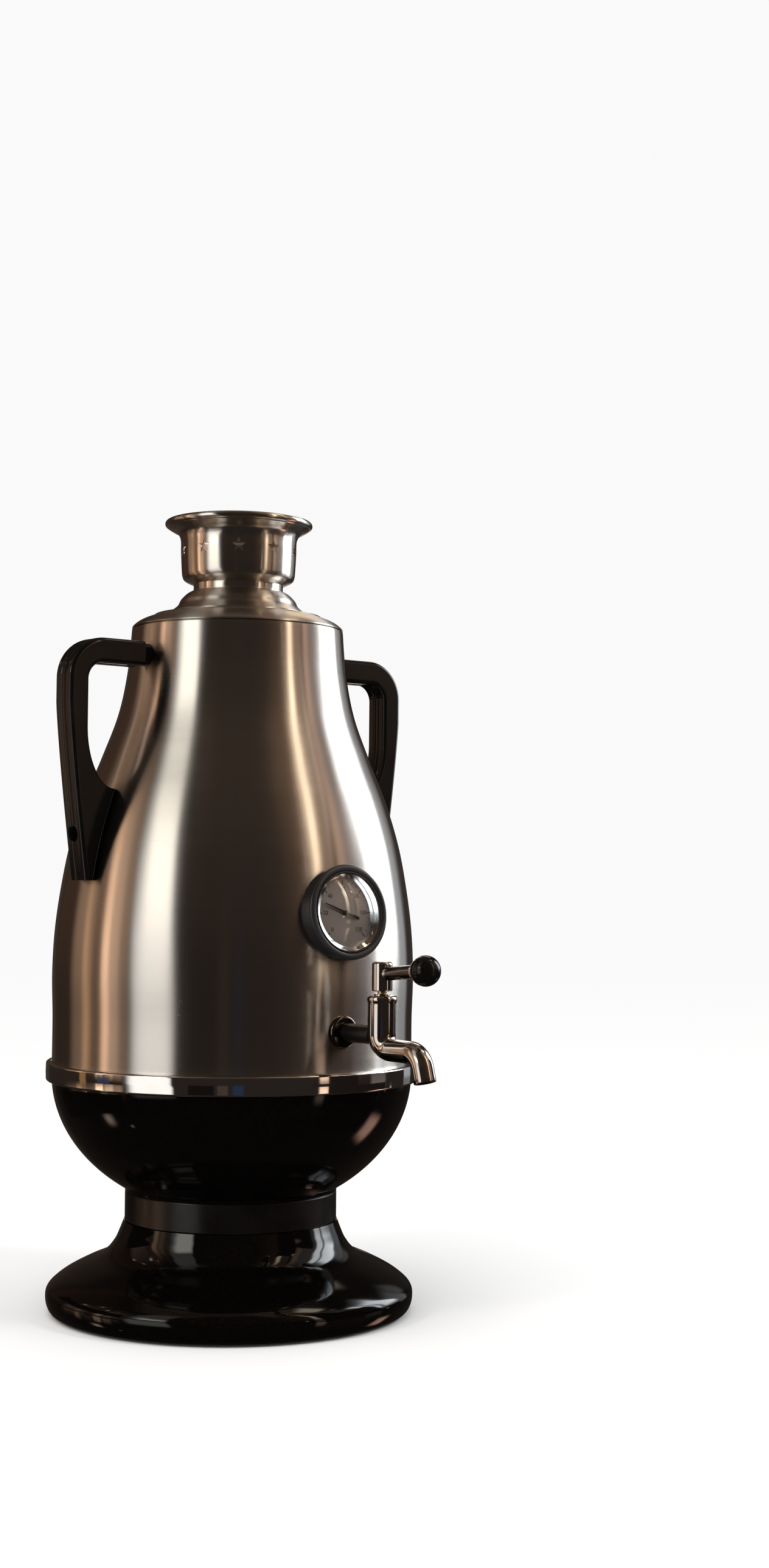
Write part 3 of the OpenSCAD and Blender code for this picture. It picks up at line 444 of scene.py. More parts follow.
def spun_steel(name, color, roughness, anisotropy, line_strength, change=0, level=0):
    """Stainless steel brushed round the Z axis, which draws highlights out into upright streaks.

    Its roughness changes by the given amount above a level.
    """
    steel = Finish(name, color, 1, roughness, Anisotropic=anisotropy, Anisotropic_Rotation=0.25)
    tangent = steel.add("ShaderNodeTangent", direction_type="RADIAL", axis="Z")
    steel.into("Tangent", tangent.outputs[0])
    fine = steel.noise(1, steel.spun(2600, 5), detail=1)
    broad = steel.noise(1, steel.spun(430, 4), detail=1)
    marks = steel.noise(22, detail=4)
    lines = steel.plus(steel.times(fine, 0.6), steel.times(broad, 0.4))
    steel.into("Base Color", steel.ramp(lines, scaled(color, 0.97), scaled(color, 1.02)))
    brushed = steel.ramp(lines, roughness - 0.01, roughness + 0.01)
    spread = steel.plus(brushed, steel.ramp(marks, -0.015, 0.02))
    if change:
        spread = steel.plus(spread, steel.ramp(steel.split()["Z"], 0, change, level, level + 2 * MM))
    steel.into("Roughness", spread)
    steel.into("Normal", steel.bump(lines, line_strength, 0.00003))
    return steel.material


def polished_metal(name, color, roughness):
    """Chrome or nickel plate, with a faint haze of wiped marks."""
    metal = Finish(name, color, 1, roughness)
    haze = metal.haze()
    wipes = metal.noise(1, metal.stretched((300, 300, 1600)), detail=2)
    hazy = metal.ramp(haze, roughness * 0.6, roughness * 1.6)
    metal.into("Roughness", metal.plus(hazy, metal.ramp(wipes, 0, roughness * 0.4)))
    metal.into("Base Color", metal.ramp(haze, scaled(color, 0.95), color))
    return metal.material


def tap_metal(name, color, dark, roughness):
    """Nickel plate, with a painted dark reflection along the lever's arm and against the tank's wall."""
    metal = Finish(name, color, 1, roughness)
    _, y, z = metal.split()
    at_wall = metal.ramp(y, 0, 1, ROSETTE_Y, ROSETTE_Y + MM)
    past_hub = metal.ramp(y, 1, 0, ARM_Y - 0.6 * MM, ARM_Y)
    before_collar = metal.ramp(y, 0, 1, ARM_Y - 19.8 * MM, ARM_Y - 19.4 * MM)
    over_hub = metal.ramp(z, 0, 1, HUB_Z - MM, HUB_Z)
    on_arm = metal.times(metal.times(past_hub, before_collar), over_hub)
    # Painted dark reflection: the base colour turns dark at the rosette and on the lever's arm.
    metal.into("Base Color", metal.ramp(metal.math("MAXIMUM", at_wall, on_arm), color, dark, 0, 1))
    metal.into("Roughness", metal.ramp(metal.haze(), roughness * 0.7, roughness * 1.5))
    return metal.material


def dull_metal(name, color, roughness):
    """Zinc-plated, drawn or cast metal, mottled and slightly grained."""
    metal = Finish(name, color, 1, roughness)
    mottle = metal.noise(240, detail=5)
    metal.into("Base Color", metal.ramp(mottle, scaled(color, 0.75), color))
    metal.into("Roughness", metal.ramp(mottle, roughness - 0.08, roughness + 0.1))
    metal.into("Normal", metal.bump(mottle, 0.15, 0.0001))
    return metal.material


def black_enamel(name):
    """Glossy vitreous enamel: deep black with a faint orange peel and a little dust."""
    enamel = Finish(name, (0.0015, 0.0013, 0.0012), 0, 0.05, IOR=1.42)
    peel = enamel.noise(260, detail=2)
    waves = enamel.noise(38, detail=2)
    dust = enamel.noise(900, detail=6)
    enamel.into("Base Color", enamel.ramp(dust, (0.001, 0.0008, 0.0007), (0.004, 0.0032, 0.0028), 0.5, 0.8))
    enamel.into("Roughness", enamel.ramp(enamel.noise(14, detail=4), 0.035, 0.11))
    first = enamel.bump(waves, 0.08, 0.0006)
    enamel.into("Normal", enamel.bump(peel, 0.05, 0.00006, first))
    return enamel.material


def black_plastic(name, color, roughness, grain, strength, ior=1.5):
    """Moulded black plastic or bakelite, with a fine grain and slightly worn, lighter patches."""
    plastic = Finish(name, color, 0, roughness, IOR=ior)
    wear = plastic.noise(45, detail=5)
    fine = plastic.noise(grain, detail=3)
    plastic.into("Base Color", plastic.ramp(wear, color, scaled(color, 1.9), 0.4, 0.75))
    plastic.into("Roughness", plastic.ramp(wear, roughness * 0.85, roughness * 1.3))
    plastic.into("Normal", plastic.bump(fine, strength, 0.00008))
    return plastic.material


def soft_rubber(name, color, roughness):
    rubber = Finish(name, color, 0, roughness, IOR=1.45)
    grain = rubber.noise(700, detail=4)
    rubber.into("Base Color", rubber.ramp(grain, scaled(color, 0.7), scaled(color, 1.3)))
    rubber.into("Roughness", rubber.ramp(grain, roughness - 0.08, roughness + 0.08))
    rubber.into("Normal", rubber.bump(grain, 0.2, 0.0001))
    return rubber.material


def ceramic(name):
    glaze = Finish(name, (0.8, 0.77, 0.7), 0, 0.4)
    specks = glaze.noise(600, detail=5)
    glaze.into("Base Color", glaze.ramp(specks, (0.7, 0.66, 0.58), (0.84, 0.81, 0.74)))
    glaze.into("Normal", glaze.bump(specks, 0.1, 0.0001))
    return glaze.material


def clear_glass(name):
    glass = Finish(name, (0.97, 0.98, 0.98), 0, 0.01, IOR=1.7)
    glass.set("Transmission Weight", 1)
    smears = glass.noise(90, detail=4)
    glass.into("Roughness", glass.ramp(smears, 0.0, 0.03))
    return glass.material


def dial_paint(name):
    """The dial's silver lacquer, finely brushed and a little uneven."""
    lacquer = Finish(name, (0.46, 0.44, 0.43), 0.85, 0.36)
    cloud = lacquer.noise(60, detail=3)
    brushing = lacquer.noise(1, lacquer.stretched((300, 6000, 6000)), detail=2)
    lacquer.into("Base Color", lacquer.ramp(cloud, (0.42, 0.405, 0.395), (0.50, 0.48, 0.465)))
    lacquer.into("Roughness", lacquer.ramp(brushing, 0.32, 0.40))
    lacquer.into("Normal", lacquer.bump(brushing, 0.08, 0.00003))
    return lacquer.material


def ink(name, color):
    print_ink = Finish(name, color, 0, 0.5)
    grain = print_ink.noise(900, detail=3)
    print_ink.into("Base Color", print_ink.ramp(grain, color, tuple(c * 1.6 + 0.004 for c in color)))
    return print_ink.material


# Each slot's finish: its function and what that is given after the name
SLOTS = {
    "black_enamel": (black_enamel,),
    "rubber": (soft_rubber, (0.02, 0.02, 0.02), 0.7),
    "zinc_steel": (dull_metal, (0.62, 0.62, 0.63), 0.35),
    "black_satin_plastic": (black_plastic, (0.0035, 0.0022, 0.0018), 0.27, 900, 0.04),
    "mirror_chrome": (polished_metal, (0.80, 0.78, 0.75), 0.035),
    "brushed_steel": (spun_steel, (0.66, 0.63, 0.59), 0.25, 1, 0.03),
    "tank_steel": (spun_steel, (0.6, 0.59, 0.57), 0.34, 0.4, 0.15),
    "heater_sheath": (dull_metal, (0.42, 0.4, 0.38), 0.42),
    "brass": (dull_metal, (0.72, 0.55, 0.28), 0.32),
    "red_silicone": (soft_rubber, (0.42, 0.07, 0.04), 0.6),
    "ceramic": (ceramic,),
    "inlet_plastic": (black_plastic, (0.018, 0.018, 0.018), 0.42, 1400, 0.25),
    "bakelite": (black_plastic, (0.0022, 0.0019, 0.0017), 0.11, 500, 0.02, 1.36),
    "gauge_black": (black_plastic, (0.010, 0.0092, 0.0095), 0.30, 800, 0.04),
    "glass": (clear_glass,),
    "dial_paint": (dial_paint,),
    "pointer_black": (ink, (0.008, 0.007, 0.006)),
    # tap_chrome's second colour is the painted dark reflection on the lever's arm and at the rosette
    "tap_chrome": (tap_metal, (0.58, 0.53, 0.49), (0.12, 0.10, 0.088), 0.1),
    "lid_steel": (spun_steel, (0.66, 0.62, 0.57), 0.31, 0.95, 0.03, -0.1, CROWN_Z),
}
MATERIALS = {name: make(name, *values) for name, (make, *values) in SLOTS.items()}


# ---- foot, waist ring and bowl --------------------------------------------------------------

# Shares of the way from the neck's radius to the rim's, and of the height
FOOT_SHAPE = [
    (0, 1), (0.045, 0.9), (0.12, 0.765), (0.265, 0.63), (0.53, 0.53), (0.77, 0.425), (0.925, 0.328),
    (0.983, 0.265), (0.998, 0.205), (0.988, 0.12), (0.945, 0.045), (0.87, 0.018), (0.78, 0.018),
]
FLANGE_W = 12 * MM


def make_foot():
    """The foot's shell, with a flat flange under the waist ring."""
    curve = [Vector((mix(FOOT_NECK_R, FOOT_R, p.x), WAIST_Z * p.y)) for p in smooth(FOOT_SHAPE, 8)]
    under, flange_r = WAIST_Z - ENAMEL_T, FOOT_NECK_R - FLANGE_W
    inner = [p for p in shifted(curve, -ENAMEL_T) if p.y < under]
    outline = [(flange_r, WAIST_Z)] + curve + inner[::-1] + [(flange_r, under)]
    return lathe("foot_shell", outline, FINE_SEGMENTS)


def make_waist_ring():
    outline = box_outline(WAIST_R - 5 * MM, WAIST_R, WAIST_Z, WAIST_TOP)
    return lathe("waist_collar", rounded(outline, 0.8 * MM))


BOWL_R = BAND_R - 3.2 * MM
BOWL_TOP = BAND_Z + 4 * MM
BOWL_COLLAR_H = 1.8 * MM


def bowl_curve(steps=60):
    """The bowl's outer surface, from the waist ring up into the band."""
    end = math.acos((WAIST_R + 0.2 * MM) / BOWL_R)
    drop = (BOWL_TOP - WAIST_TOP - BOWL_COLLAR_H) / math.sin(end)
    points = [(WAIST_R - 0.4 * MM, WAIST_TOP), (WAIST_R, WAIST_TOP + 0.4 * MM)]
    for k in range(steps, -1, -1):
        a = end * k / steps
        z = BOWL_TOP - drop * math.sin(a)
        if z < BOWL_TOP - MM:
            points.append((BOWL_R * math.cos(a), z))
    return points


def make_bowl():
    curve = [(WAIST_R - FLANGE_W, WAIST_TOP)] + bowl_curve()
    return lathe("bowl_shell", sheet(curve, ENAMEL_T), FINE_SEGMENTS)


# ---- band and body --------------------------------------------------------------------------

def make_band():
    r, inner, lap_r = BAND_R, BAND_R - 2.9 * MM, BODY_NECK_R + 0.15 * MM
    outline = rounded([
        (inner, BAND_Z), (r - 1.2 * MM, BAND_Z), (r - 0.15 * MM, BAND_Z + 0.7 * MM),
        (r, mix(BAND_Z, BAND_TOP, 0.5)), (r - 0.15 * MM, BAND_TOP - 0.7 * MM), (r - 1.2 * MM, BAND_TOP),
        (lap_r, BAND_TOP), (lap_r, BAND_TOP - 1.2 * MM), (inner, BAND_TOP - 1.6 * MM)
    ], 0.8 * MM, 5)
    return lathe("polished_band", outline, FINE_SEGMENTS)


# Shares of the way from the mouth's radius to the belly's, at even heights from the band to the mouth
BODY_SHARES = [0.985, 0.985, 0.999, 0.973, 0.898, 0.785, 0.607, 0.377, 0.166, 0.051, 0]
BODY_POINTS = [
    Vector((mix(MOUTH_R, BELLY_R, share), mix(BAND_TOP, BODY_TOP, i / (len(BODY_SHARES) - 1))))
    for i, share in enumerate(BODY_SHARES)
]
BODY_CURVE = smooth(BODY_POINTS, 12)
BODY_NECK_R = BODY_CURVE[0].x


def body_radius(z):
    """Radius of the body's outer surface at height z."""
    for a, b in zip(BODY_CURVE, BODY_CURVE[1:]):
        if a.y <= z <= b.y:
            return mix(a.x, b.x, (z - a.y) / (b.y - a.y))
    return BODY_CURVE[0].x


def make_body():
    """The tank's wall, with a small rolled edge at its mouth."""
    curve = [(BODY_NECK_R, BODY_FOOT)] + BODY_CURVE[:-1] + [(MOUTH_R, BODY_TOP - 0.5 * MM)]
    return lathe("tank_wall", sheet(curve, STEEL_T), FINE_SEGMENTS)


# ---- lid and crown --------------------------------------------------------------------------

COLLAR_R = 25 * MM
COLLAR_H = 4 * MM
CROWN_R = 32 * MM
BEAD_R = 1.9 * MM
BOLT_D = 5.2 * MM
STEAM_D = 7 * MM
STEAM_COUNT = 6
STEAM_RING_R = COLLAR_R * 0.56
CROWN_SEGMENTS = 300
LID_RIM_Z = BODY_TOP + 0.2 * MM
LID_H = CROWN_Z - BODY_TOP
CROWN_FLOOR = CROWN_Z + COLLAR_H


def lid_points(points):
    """Points of the lid, from radii and shares of its height."""
    return [Vector((r, BODY_TOP + LID_H * share)) for r, share in points]


def lid_curve():
    """The lid's outer surface: its edge, a groove on its shoulder, and its dome up to the crown's seat."""
    shoulder = MOUTH_R - 11.5 * MM
    step = shoulder - 8.6 * MM
    flat = COLLAR_R + 1.6 * MM
    edge = [(MOUTH_R, 0.4 * MM / LID_H), (MOUTH_R - 0.6 * MM, 0.07), (MOUTH_R - 3.2 * MM, 0.17),
            (MOUTH_R - 7 * MM, 0.26), (shoulder, 0.335)]
    groove = [(shoulder - 0.8 * MM, 0.375), (shoulder - 2 * MM, 0.37), (step, 0.38)]
    dome = [(step - 0.6 * MM, 0.46), (mix(step, flat, 0.4), 0.62), (mix(step, flat, 0.55), 0.78),
            (mix(step, flat, 0.8), 0.93), (flat, 1)]
    return smooth(lid_points(edge), 8) + lid_points(groove) + smooth(lid_points(dome), 8)


def upright_holes(z, diameter, count, ring_r):
    """Cutters for a ring of upright round holes through a sheet at height z."""
    sides, tools = 32, []
    for k in range(count):
        circle = arc(*polar(ring_r, 360 * k / count), diameter / 2, 0, 360 * (1 - 1 / sides), sides - 1)
        tools.append(prism("hole", circle, z - 3 * MM, z + 3 * MM))
    return tools


def bolt_and_steam_holes(z):
    return upright_holes(z, STEAM_D, STEAM_COUNT, STEAM_RING_R) + upright_holes(z, BOLT_D, 1, 0)


def make_lid_cover():
    """The lid's cover, its rim on the body's mouth and its skirt inside the body, as one sheet."""
    curve, skirt_z, skirt_r = lid_curve(), low("lid_skirt").z, MOUTH_R - STEEL_T - 0.6 * MM
    under = shifted(curve, LID_T)[4:]
    outline = [(skirt_r, skirt_z), (skirt_r, LID_RIM_Z), (MOUTH_R - 0.5 * MM, LID_RIM_Z)] + curve
    outline += [(0, CROWN_Z), (0, CROWN_Z - LID_T)] + under[::-1]
    outline += [(skirt_r - LID_T, LID_RIM_Z + LID_T), (skirt_r - LID_T, skirt_z)]
    return cut(lathe("lid_cover", outline), bolt_and_steam_holes(CROWN_Z))


def crown_curve():
    """The crown's outer surface, from the collar up to the lip."""
    profile = [
        (COLLAR_R + 0.2 * MM, CROWN_FLOOR + 0.1 * MM), (COLLAR_R + 1.2 * MM, CROWN_FLOOR + 0.5 * MM),
        (CROWN_R - 2 * MM, CROWN_FLOOR + 2.4 * MM), (CROWN_R - 0.7 * MM, CROWN_FLOOR + 4.4 * MM),
        (CROWN_R - 0.2 * MM, CROWN_FLOOR + 8 * MM), (CROWN_R + 0.3 * MM, CROWN_FLOOR + 18 * MM),
        (CROWN_R + 0.4 * MM, CROWN_TOP - 12 * MM), (CROWN_R + 0.9 * MM, CROWN_TOP - 9.4 * MM),
        (CROWN_R + 2.2 * MM, CROWN_TOP - 7.2 * MM), (mix(CROWN_R, LIP_R, 0.55), CROWN_TOP - 5.6 * MM),
        (LIP_R - BEAD_R, CROWN_TOP - 4.2 * MM)
    ]
    return [(COLLAR_R, CROWN_Z), (COLLAR_R, CROWN_FLOOR - 0.6 * MM)] + smooth(profile, 6)


STAR_COUNT = 10
STAR_R = 4.2 * MM
STAR_WAIST = 0.42
STAR_TURN = -35
STAR_Z = CROWN_FLOOR + 18.6 * MM
CUTTER_REACH = 4 * MM


def star_cutters():
    """Five-pointed bars that point outward through the crown's wall."""
    star = [polar(STAR_R * (STAR_WAIST if k % 2 else 1), 90 + 36 * k) for k in range(10)]
    outline = rounded(star, 0.25 * MM, 2)
    tools = []
    for k in range(STAR_COUNT):
        bar = prism("star", outline, CROWN_R - CUTTER_REACH, CROWN_R + CUTTER_REACH)
        turn = Matrix.Rotation(math.radians(STAR_TURN + 360 * k / STAR_COUNT), 4, "Z")
        bar.data.transform(turn @ forward(STAR_Z))
        tools.append(bar)
    return tools


def make_crown():
    """The crown: a collar, a floor with steam holes, a wall with stars cut through and a rolled lip."""
    curve = crown_curve()
    bead = arc(LIP_R - BEAD_R, CROWN_TOP - BEAD_R, BEAD_R, -80, 190, 20)
    inner = shifted(curve, LID_T)
    floor_r, floor_z = inner[0].x, CROWN_FLOOR - 1.4 * MM
    floor_top = floor_z + LID_T
    wall = [p for p in inner if p.y > floor_top + 0.1 * MM and p.x < LIP_R - 1.9 * BEAD_R]
    floor = [(floor_r, floor_top), (0, floor_top), (0, floor_z), (floor_r, floor_z), inner[0]]
    piece = lathe("pierced_crown", curve + bead + wall[::-1] + floor, CROWN_SEGMENTS)
    return cut(piece, star_cutters() + bolt_and_steam_holes(floor_z))


# ---- handles --------------------------------------------------------------------------------

ARM_T = 13.5 * MM
GRIP_T = 12 * MM
CORNER_R = 22 * MM
LEAN = 11 * MM
CROTCH_Z = 284.7 * MM
LOW_SCREW_Z = 260 * MM
SCREW_SEAT = 4 * MM
SCREW_HEAD_R = 3.7 * MM
SCREW_R = 2.2 * MM
SCREW_START = 90 * MM
SEAT_GAP = 0.1 * MM
HANDLE_EDGE = 2.4 * MM
GROOVE_W, GROOVE_D = 5 * MM, 0.7 * MM
LEAN_Z = HANDLE_TOP - 35 * MM


def grip_outer(z):
    """X of the grip's outer face at height z, which leans in towards its lower tip."""
    share = max(0, (LEAN_Z - z) / (LEAN_Z - HANDLE_BOTTOM))
    return HANDLE_REACH - LEAN * share ** 1.2


def handle_stations():
    """Pairs of an inner and an outer point, in XZ, from the arm's end to the handle's lower tip."""
    corner_x, corner_z = HANDLE_REACH - CORNER_R, HANDLE_TOP - CORNER_R
    grip_inner, curl_z = HANDLE_REACH - GRIP_T, CROTCH_Z + 33 * MM
    stations = []
    for k in range(9):
        x = mix(ARM_START, corner_x, k / 8)
        stations.append(((x, HANDLE_TOP - ARM_T), (x, HANDLE_TOP)))
    for k in range(1, 25):
        a = math.radians(90 - 90 * k / 24)
        inner = mix(CORNER_R - ARM_T, CORNER_R - GRIP_T, k / 24)
        stations.append(((corner_x + inner * math.cos(a), corner_z + inner * math.sin(a)),
                         (corner_x + CORNER_R * math.cos(a), corner_z + CORNER_R * math.sin(a))))
    for k in range(1, 9):
        z = mix(corner_z, curl_z, k / 8)
        stations.append(((grip_inner, z), (grip_outer(z), z)))
    for k in range(1, 21):
        a = math.radians(90 * k / 20)
        z = curl_z - (curl_z - CROTCH_Z) * math.sin(a)
        x = grip_inner - (grip_inner - body_radius(CROTCH_Z) - SEAT_GAP) * (1 - math.cos(a))
        stations.append(((x, z), (grip_outer(z), z)))
    for k in range(1, 31):
        z = mix(CROTCH_Z, HANDLE_BOTTOM, k / 30)
        stations.append(((body_radius(z) + SEAT_GAP, z), (grip_outer(z), z)))
    return stations


def bar_section(length):
    """A handle's cross-section: rounded corners, and a shallow groove along its inner and outer faces."""
    half, r = HANDLE_W / 2, min(HANDLE_EDGE, length * 0.45)
    groove, depth = GROOVE_W / 2, min(GROOVE_D, length * 0.15)
    slope = 0.9 * MM
    outline = [Vector((length - depth, 0)), Vector((length - depth, groove - slope)),
               Vector((length - depth / 2, groove - slope / 2)), Vector((length, groove))]
    outline += arc(length - r, half - r, r, 0, 90, 8) + arc(r, half - r, r, 90, 180, 8)
    outline += [Vector((0, groove)), Vector((depth / 2, groove - slope / 2)), Vector((depth, groove - slope)),
                Vector((depth, 0))]
    mirrored = [Vector((p.x, -p.y)) for p in outline[1:-1]]
    return outline + mirrored[::-1]


def screw_cutters():
    """The lower screw's recess, with a flared edge, and the bore for its shank."""
    seat, face, r = body_radius(LOW_SCREW_Z) + SCREW_SEAT, grip_outer(LOW_SCREW_Z), SCREW_HEAD_R
    flare_z = face + 0.9 * MM
    recess = [(0, seat), (r, seat), (r, face - 1.2 * MM), (r + 1.6 * MM, flare_z), (0, flare_z)]
    bore = box_outline(0, SCREW_R, SCREW_START, seat + MM)
    at_screw = sideways(LOW_SCREW_Z)
    return [lathe("recess", recess, 48, place=at_screw), lathe("shank", bore, 32, place=at_screw)]


def make_handle(name, turn):
    """A handle, drawn on the right and turned round Z by so many degrees."""
    rings = []
    for inner, outer in handle_stations():
        a, b = Vector(inner), Vector(outer)
        u = (b - a).normalized()
        rings.append([Vector((a.x + u.x * p.x, p.y, a.y + u.y * p.x)) for p in bar_section((b - a).length)])
    piece = cut(new_piece(name, *skin(rings), 40), screw_cutters(), 40)
    piece.data.transform(Matrix.Rotation(math.radians(turn), 4, "Z"))
    return piece


# ---- thermometer ----------------------------------------------------------------------------

# Heights of the thermometer's parts are measured from the tank's wall
GAUGE_FACE, BEZEL_BACK, DIAL_FACE = 7.2 * MM, 4.4 * MM, 2 * MM
CASE_BACK, CASE_HOLE_R = -6 * MM, 4.1 * MM
WINDOW_R = 20.3 * MM
GLASS_RISE, GLASS_T, GLASS_EDGE = 6 * MM, 0.8 * MM, 6.7 * MM
RING_R, RING_FACE = 17.8 * MM, 4.9 * MM
AT_GAUGE = on_wall(GAUGE_Z)


def make_gauge_case():
    """The case, with its back shaped to the round wall."""
    r, pocket, floor = GAUGE_R - 0.8 * MM, WINDOW_R + 0.4 * MM, DIAL_FACE - 1.1 * MM
    outline = rounded([(CASE_HOLE_R, CASE_BACK), (r, CASE_BACK), (r, BEZEL_BACK), (pocket, BEZEL_BACK),
                       (pocket, floor), (CASE_HOLE_R, floor)], 0.4 * MM, 3)
    piece = lathe("thermometer_case", outline, 128, place=AT_GAUGE)
    wall = [(p.x + SEAT_GAP, p.y) for p in BODY_CURVE]
    tank = lathe("wall", [(0, BAND_TOP)] + wall + [(0, BODY_TOP)], FINE_SEGMENTS)
    return cut(piece, [tank])


def bead(x, z, width, height, start, end, steps):
    """Points on an arc of an ellipse about (x, z), with its angles in degrees."""
    return [Vector((x + p.x * width, z + p.y * height)) for p in arc(0, 0, 1, start, end, steps)]


def make_gauge_bezel():
    """The bezel's broad outer bead, a groove and a narrow inner bead round the window."""
    r, w = GAUGE_R, WINDOW_R
    outline = [(w, BEZEL_BACK), (r - 0.3 * MM, BEZEL_BACK), (r, BEZEL_BACK + 0.5 * MM)]
    outline += bead(mix(w, r, 0.6), GAUGE_FACE - 1.4 * MM, (r - w) * 0.4, 1.4 * MM, 10, 165, 24)
    outline += bead(w + 0.55 * MM, GAUGE_FACE - 1.1 * MM, 0.5 * MM, 0.8 * MM, 30, 180, 14)
    return lathe("thermometer_bezel", outline, 160, place=AT_GAUGE)


def make_inner_ring():
    """A chrome ring under the glass, sloping in from the bezel, with a short wall down to the dial."""
    outer = WINDOW_R - 0.1 * MM
    corners = [(RING_R, DIAL_FACE), (outer, DIAL_FACE), (outer, RING_FACE + 1.1 * MM), (RING_R, RING_FACE)]
    return lathe("dial_ring", rounded(corners, 0.25 * MM, 3), 160, place=AT_GAUGE)


def make_glass():
    """The domed glass, with two faces of the same curve."""
    r = WINDOW_R - 0.1 * MM
    radius = (r * r + GLASS_RISE ** 2) / (2 * GLASS_RISE)
    a = math.degrees(math.asin(r / radius))
    top = GLASS_EDGE + GLASS_RISE
    outer = arc(0, top - radius, radius, 90, 90 - a, 24)
    inner = [p - Vector((0, GLASS_T)) for p in outer]
    return lathe("domed_glass", outer + inner[::-1], 96, place=AT_GAUGE)


DIAL_FROM, DIAL_SPAN = 225, 270
DIAL_TOP_VALUE, TICK_STEP, NUMBER_STEP = 120, 5, 20
INK_T = 0.05 * MM


def dial_angle(value):
    """Direction of a value on the dial, anticlockwise from the right, in radians."""
    return math.radians(DIAL_FROM - DIAL_SPAN * value / DIAL_TOP_VALUE)


def make_dial():
    """The dial's plate, with a hole for the pointer's arbor."""
    plate = box_outline(0.86 * MM, DIAL_R, DIAL_FACE - 0.7 * MM, DIAL_FACE)
    return lathe("dial_plate", rounded(plate, 0.1 * MM, 2), 96, place=AT_GAUGE)


def make_dial_marks():
    """The ticks, with longer ones at the numbers, as thin printed bars."""
    work = bmesh.new()
    for value in range(0, DIAL_TOP_VALUE + 1, TICK_STEP):
        length, width = (1.5 * MM, 0.2 * MM) if value % NUMBER_STEP else (2.6 * MM, 0.42 * MM)
        r = DIAL_R - 3.1 * MM - length / 2
        bar = bmesh.ops.create_cube(work, size=1)["verts"]
        spot = Matrix.Rotation(dial_angle(value), 4, "Z") @ Matrix.Translation((r, 0, DIAL_FACE + INK_T / 2))
        bmesh.ops.transform(work, matrix=spot @ Matrix.Diagonal((length, width, INK_T, 1)), verts=bar)
    mesh = filled_mesh("dial_marks", work)
    mesh.transform(AT_GAUGE)
    return add_object("dial_marks", mesh)


def make_number(value):
    """A plain upright number, printed on the dial."""
    text = bpy.data.curves.new("number", "FONT")
    text.body = str(value)
    text.size = 3.1 * MM
    text.align_x, text.align_y = "CENTER", "CENTER"
    text.extrude = INK_T / 2
    label = add_object("number", text)
    mesh = evaluated_mesh(label)
    bpy.data.objects.remove(label)
    a, r = dial_angle(value), DIAL_R - 8 * MM
    mesh.transform(AT_GAUGE @ Matrix.Translation((r * math.cos(a), r * math.sin(a), DIAL_FACE + INK_T / 2)))
    return add_object(f"dial_number_{value}", mesh)


POINTER_ANGLE = 159
POINTER_Z, POINTER_T = DIAL_FACE + 1.2 * MM, 0.5 * MM
ARBOR_R, POINTER_HUB_R = 0.8 * MM, 1.2 * MM


def make_pointer():
    """A thin tip, a thicker tail and the arbor's hub."""
    side = [(13.8, 0), (13.6, -0.2), (0, -0.62), (-3.8, -0.4), (-5.0, -0.8), (-8.6, -0.7), (-8.8, -0.5)]
    blade = [Vector(p) * MM for p in side + [(x, -y) for x, y in side[:0:-1]]]
    piece = prism("needle", blade, POINTER_Z, POINTER_Z + POINTER_T)
    piece.data.transform(Matrix.Rotation(math.radians(POINTER_ANGLE), 4, "Z"))
    back, step, top = DIAL_FACE - 5.6 * MM, DIAL_FACE + 1.0 * MM, DIAL_FACE + 1.9 * MM
    hub = rounded([(0, back), (ARBOR_R, back), (ARBOR_R, step), (POINTER_HUB_R, step),
                   (POINTER_HUB_R, top), (0, top)], 0.12 * MM, 2)
    join_solids(piece, [lathe("hub", hub, 32)], 30)
    piece.data.transform(AT_GAUGE)
    return piece


# ---- tap ------------------------------------------------------------------------------------

BARREL_R = 7.3 * MM
BARREL_TOP = high("tap_gland").z - 0.8 * MM
PIPE_R, BORE_R = 5.7 * MM, 4 * MM
PIPE_Z = TAP_Z - 6.8 * MM
ELBOW_R = 8 * MM
ELBOW_Z = PIPE_Z + ELBOW_R
SPOUT_Y, MOUTH_Z = 166 * MM, TAP_Z - 21.2 * MM
MOUTH_TILT = math.radians(16)
BEND_R = 9.8 * MM
BEND_TURN = 90 - math.degrees(MOUTH_TILT)
SPOUT_L = (PIPE_Z - BEND_R * (1 - math.sin(MOUTH_TILT)) - MOUTH_Z) / math.cos(MOUTH_TILT)
BEND_Y = SPOUT_Y - BEND_R * math.cos(MOUTH_TILT) - SPOUT_L * math.sin(MOUTH_TILT)

# A station of the tap's tube is (y, z, direction, radius). Y counts forward, and the direction is in
# degrees from straight forward.


def straight(start, end, direction, radius, count):
    """Stations at even steps from start to end."""
    shares = [k / (count - 1) for k in range(count)]
    return [(mix(start[0], end[0], t), mix(start[1], end[1], t), direction, radius) for t in shares]


def barrel_stations():
    """The barrel, from its rounded cap down to the elbow."""
    cap = [(0, -2.6), (0, -1.2), (-0.25, -0.3), (-0.8, 0.3), (-1.6, 0.5), (-2.4, 0.5), (-3.1, 0.3), (-3.5, 0)]
    stations = [(BARREL_Y, BARREL_TOP + rise * MM, -90, BARREL_R + out * MM) for rise, out in cap]
    return stations + straight((BARREL_Y, BARREL_TOP - 4.5 * MM), (BARREL_Y, ELBOW_Z), -90, BARREL_R, 8)


def elbow_stations(steps=16):
    """The elbow from the barrel's foot, which narrows to the pipe's radius."""
    stations = []
    for k in range(1, steps + 1):
        a = math.radians(90 * k / steps)
        radius = mix(BARREL_R, PIPE_R, 0.5 - 0.5 * math.cos(a * 2))
        y, z = BARREL_Y + ELBOW_R * (1 - math.cos(a)), ELBOW_Z - ELBOW_R * math.sin(a)
        stations.append((y, z, -90 + 90 * k / steps, radius))
    return stations


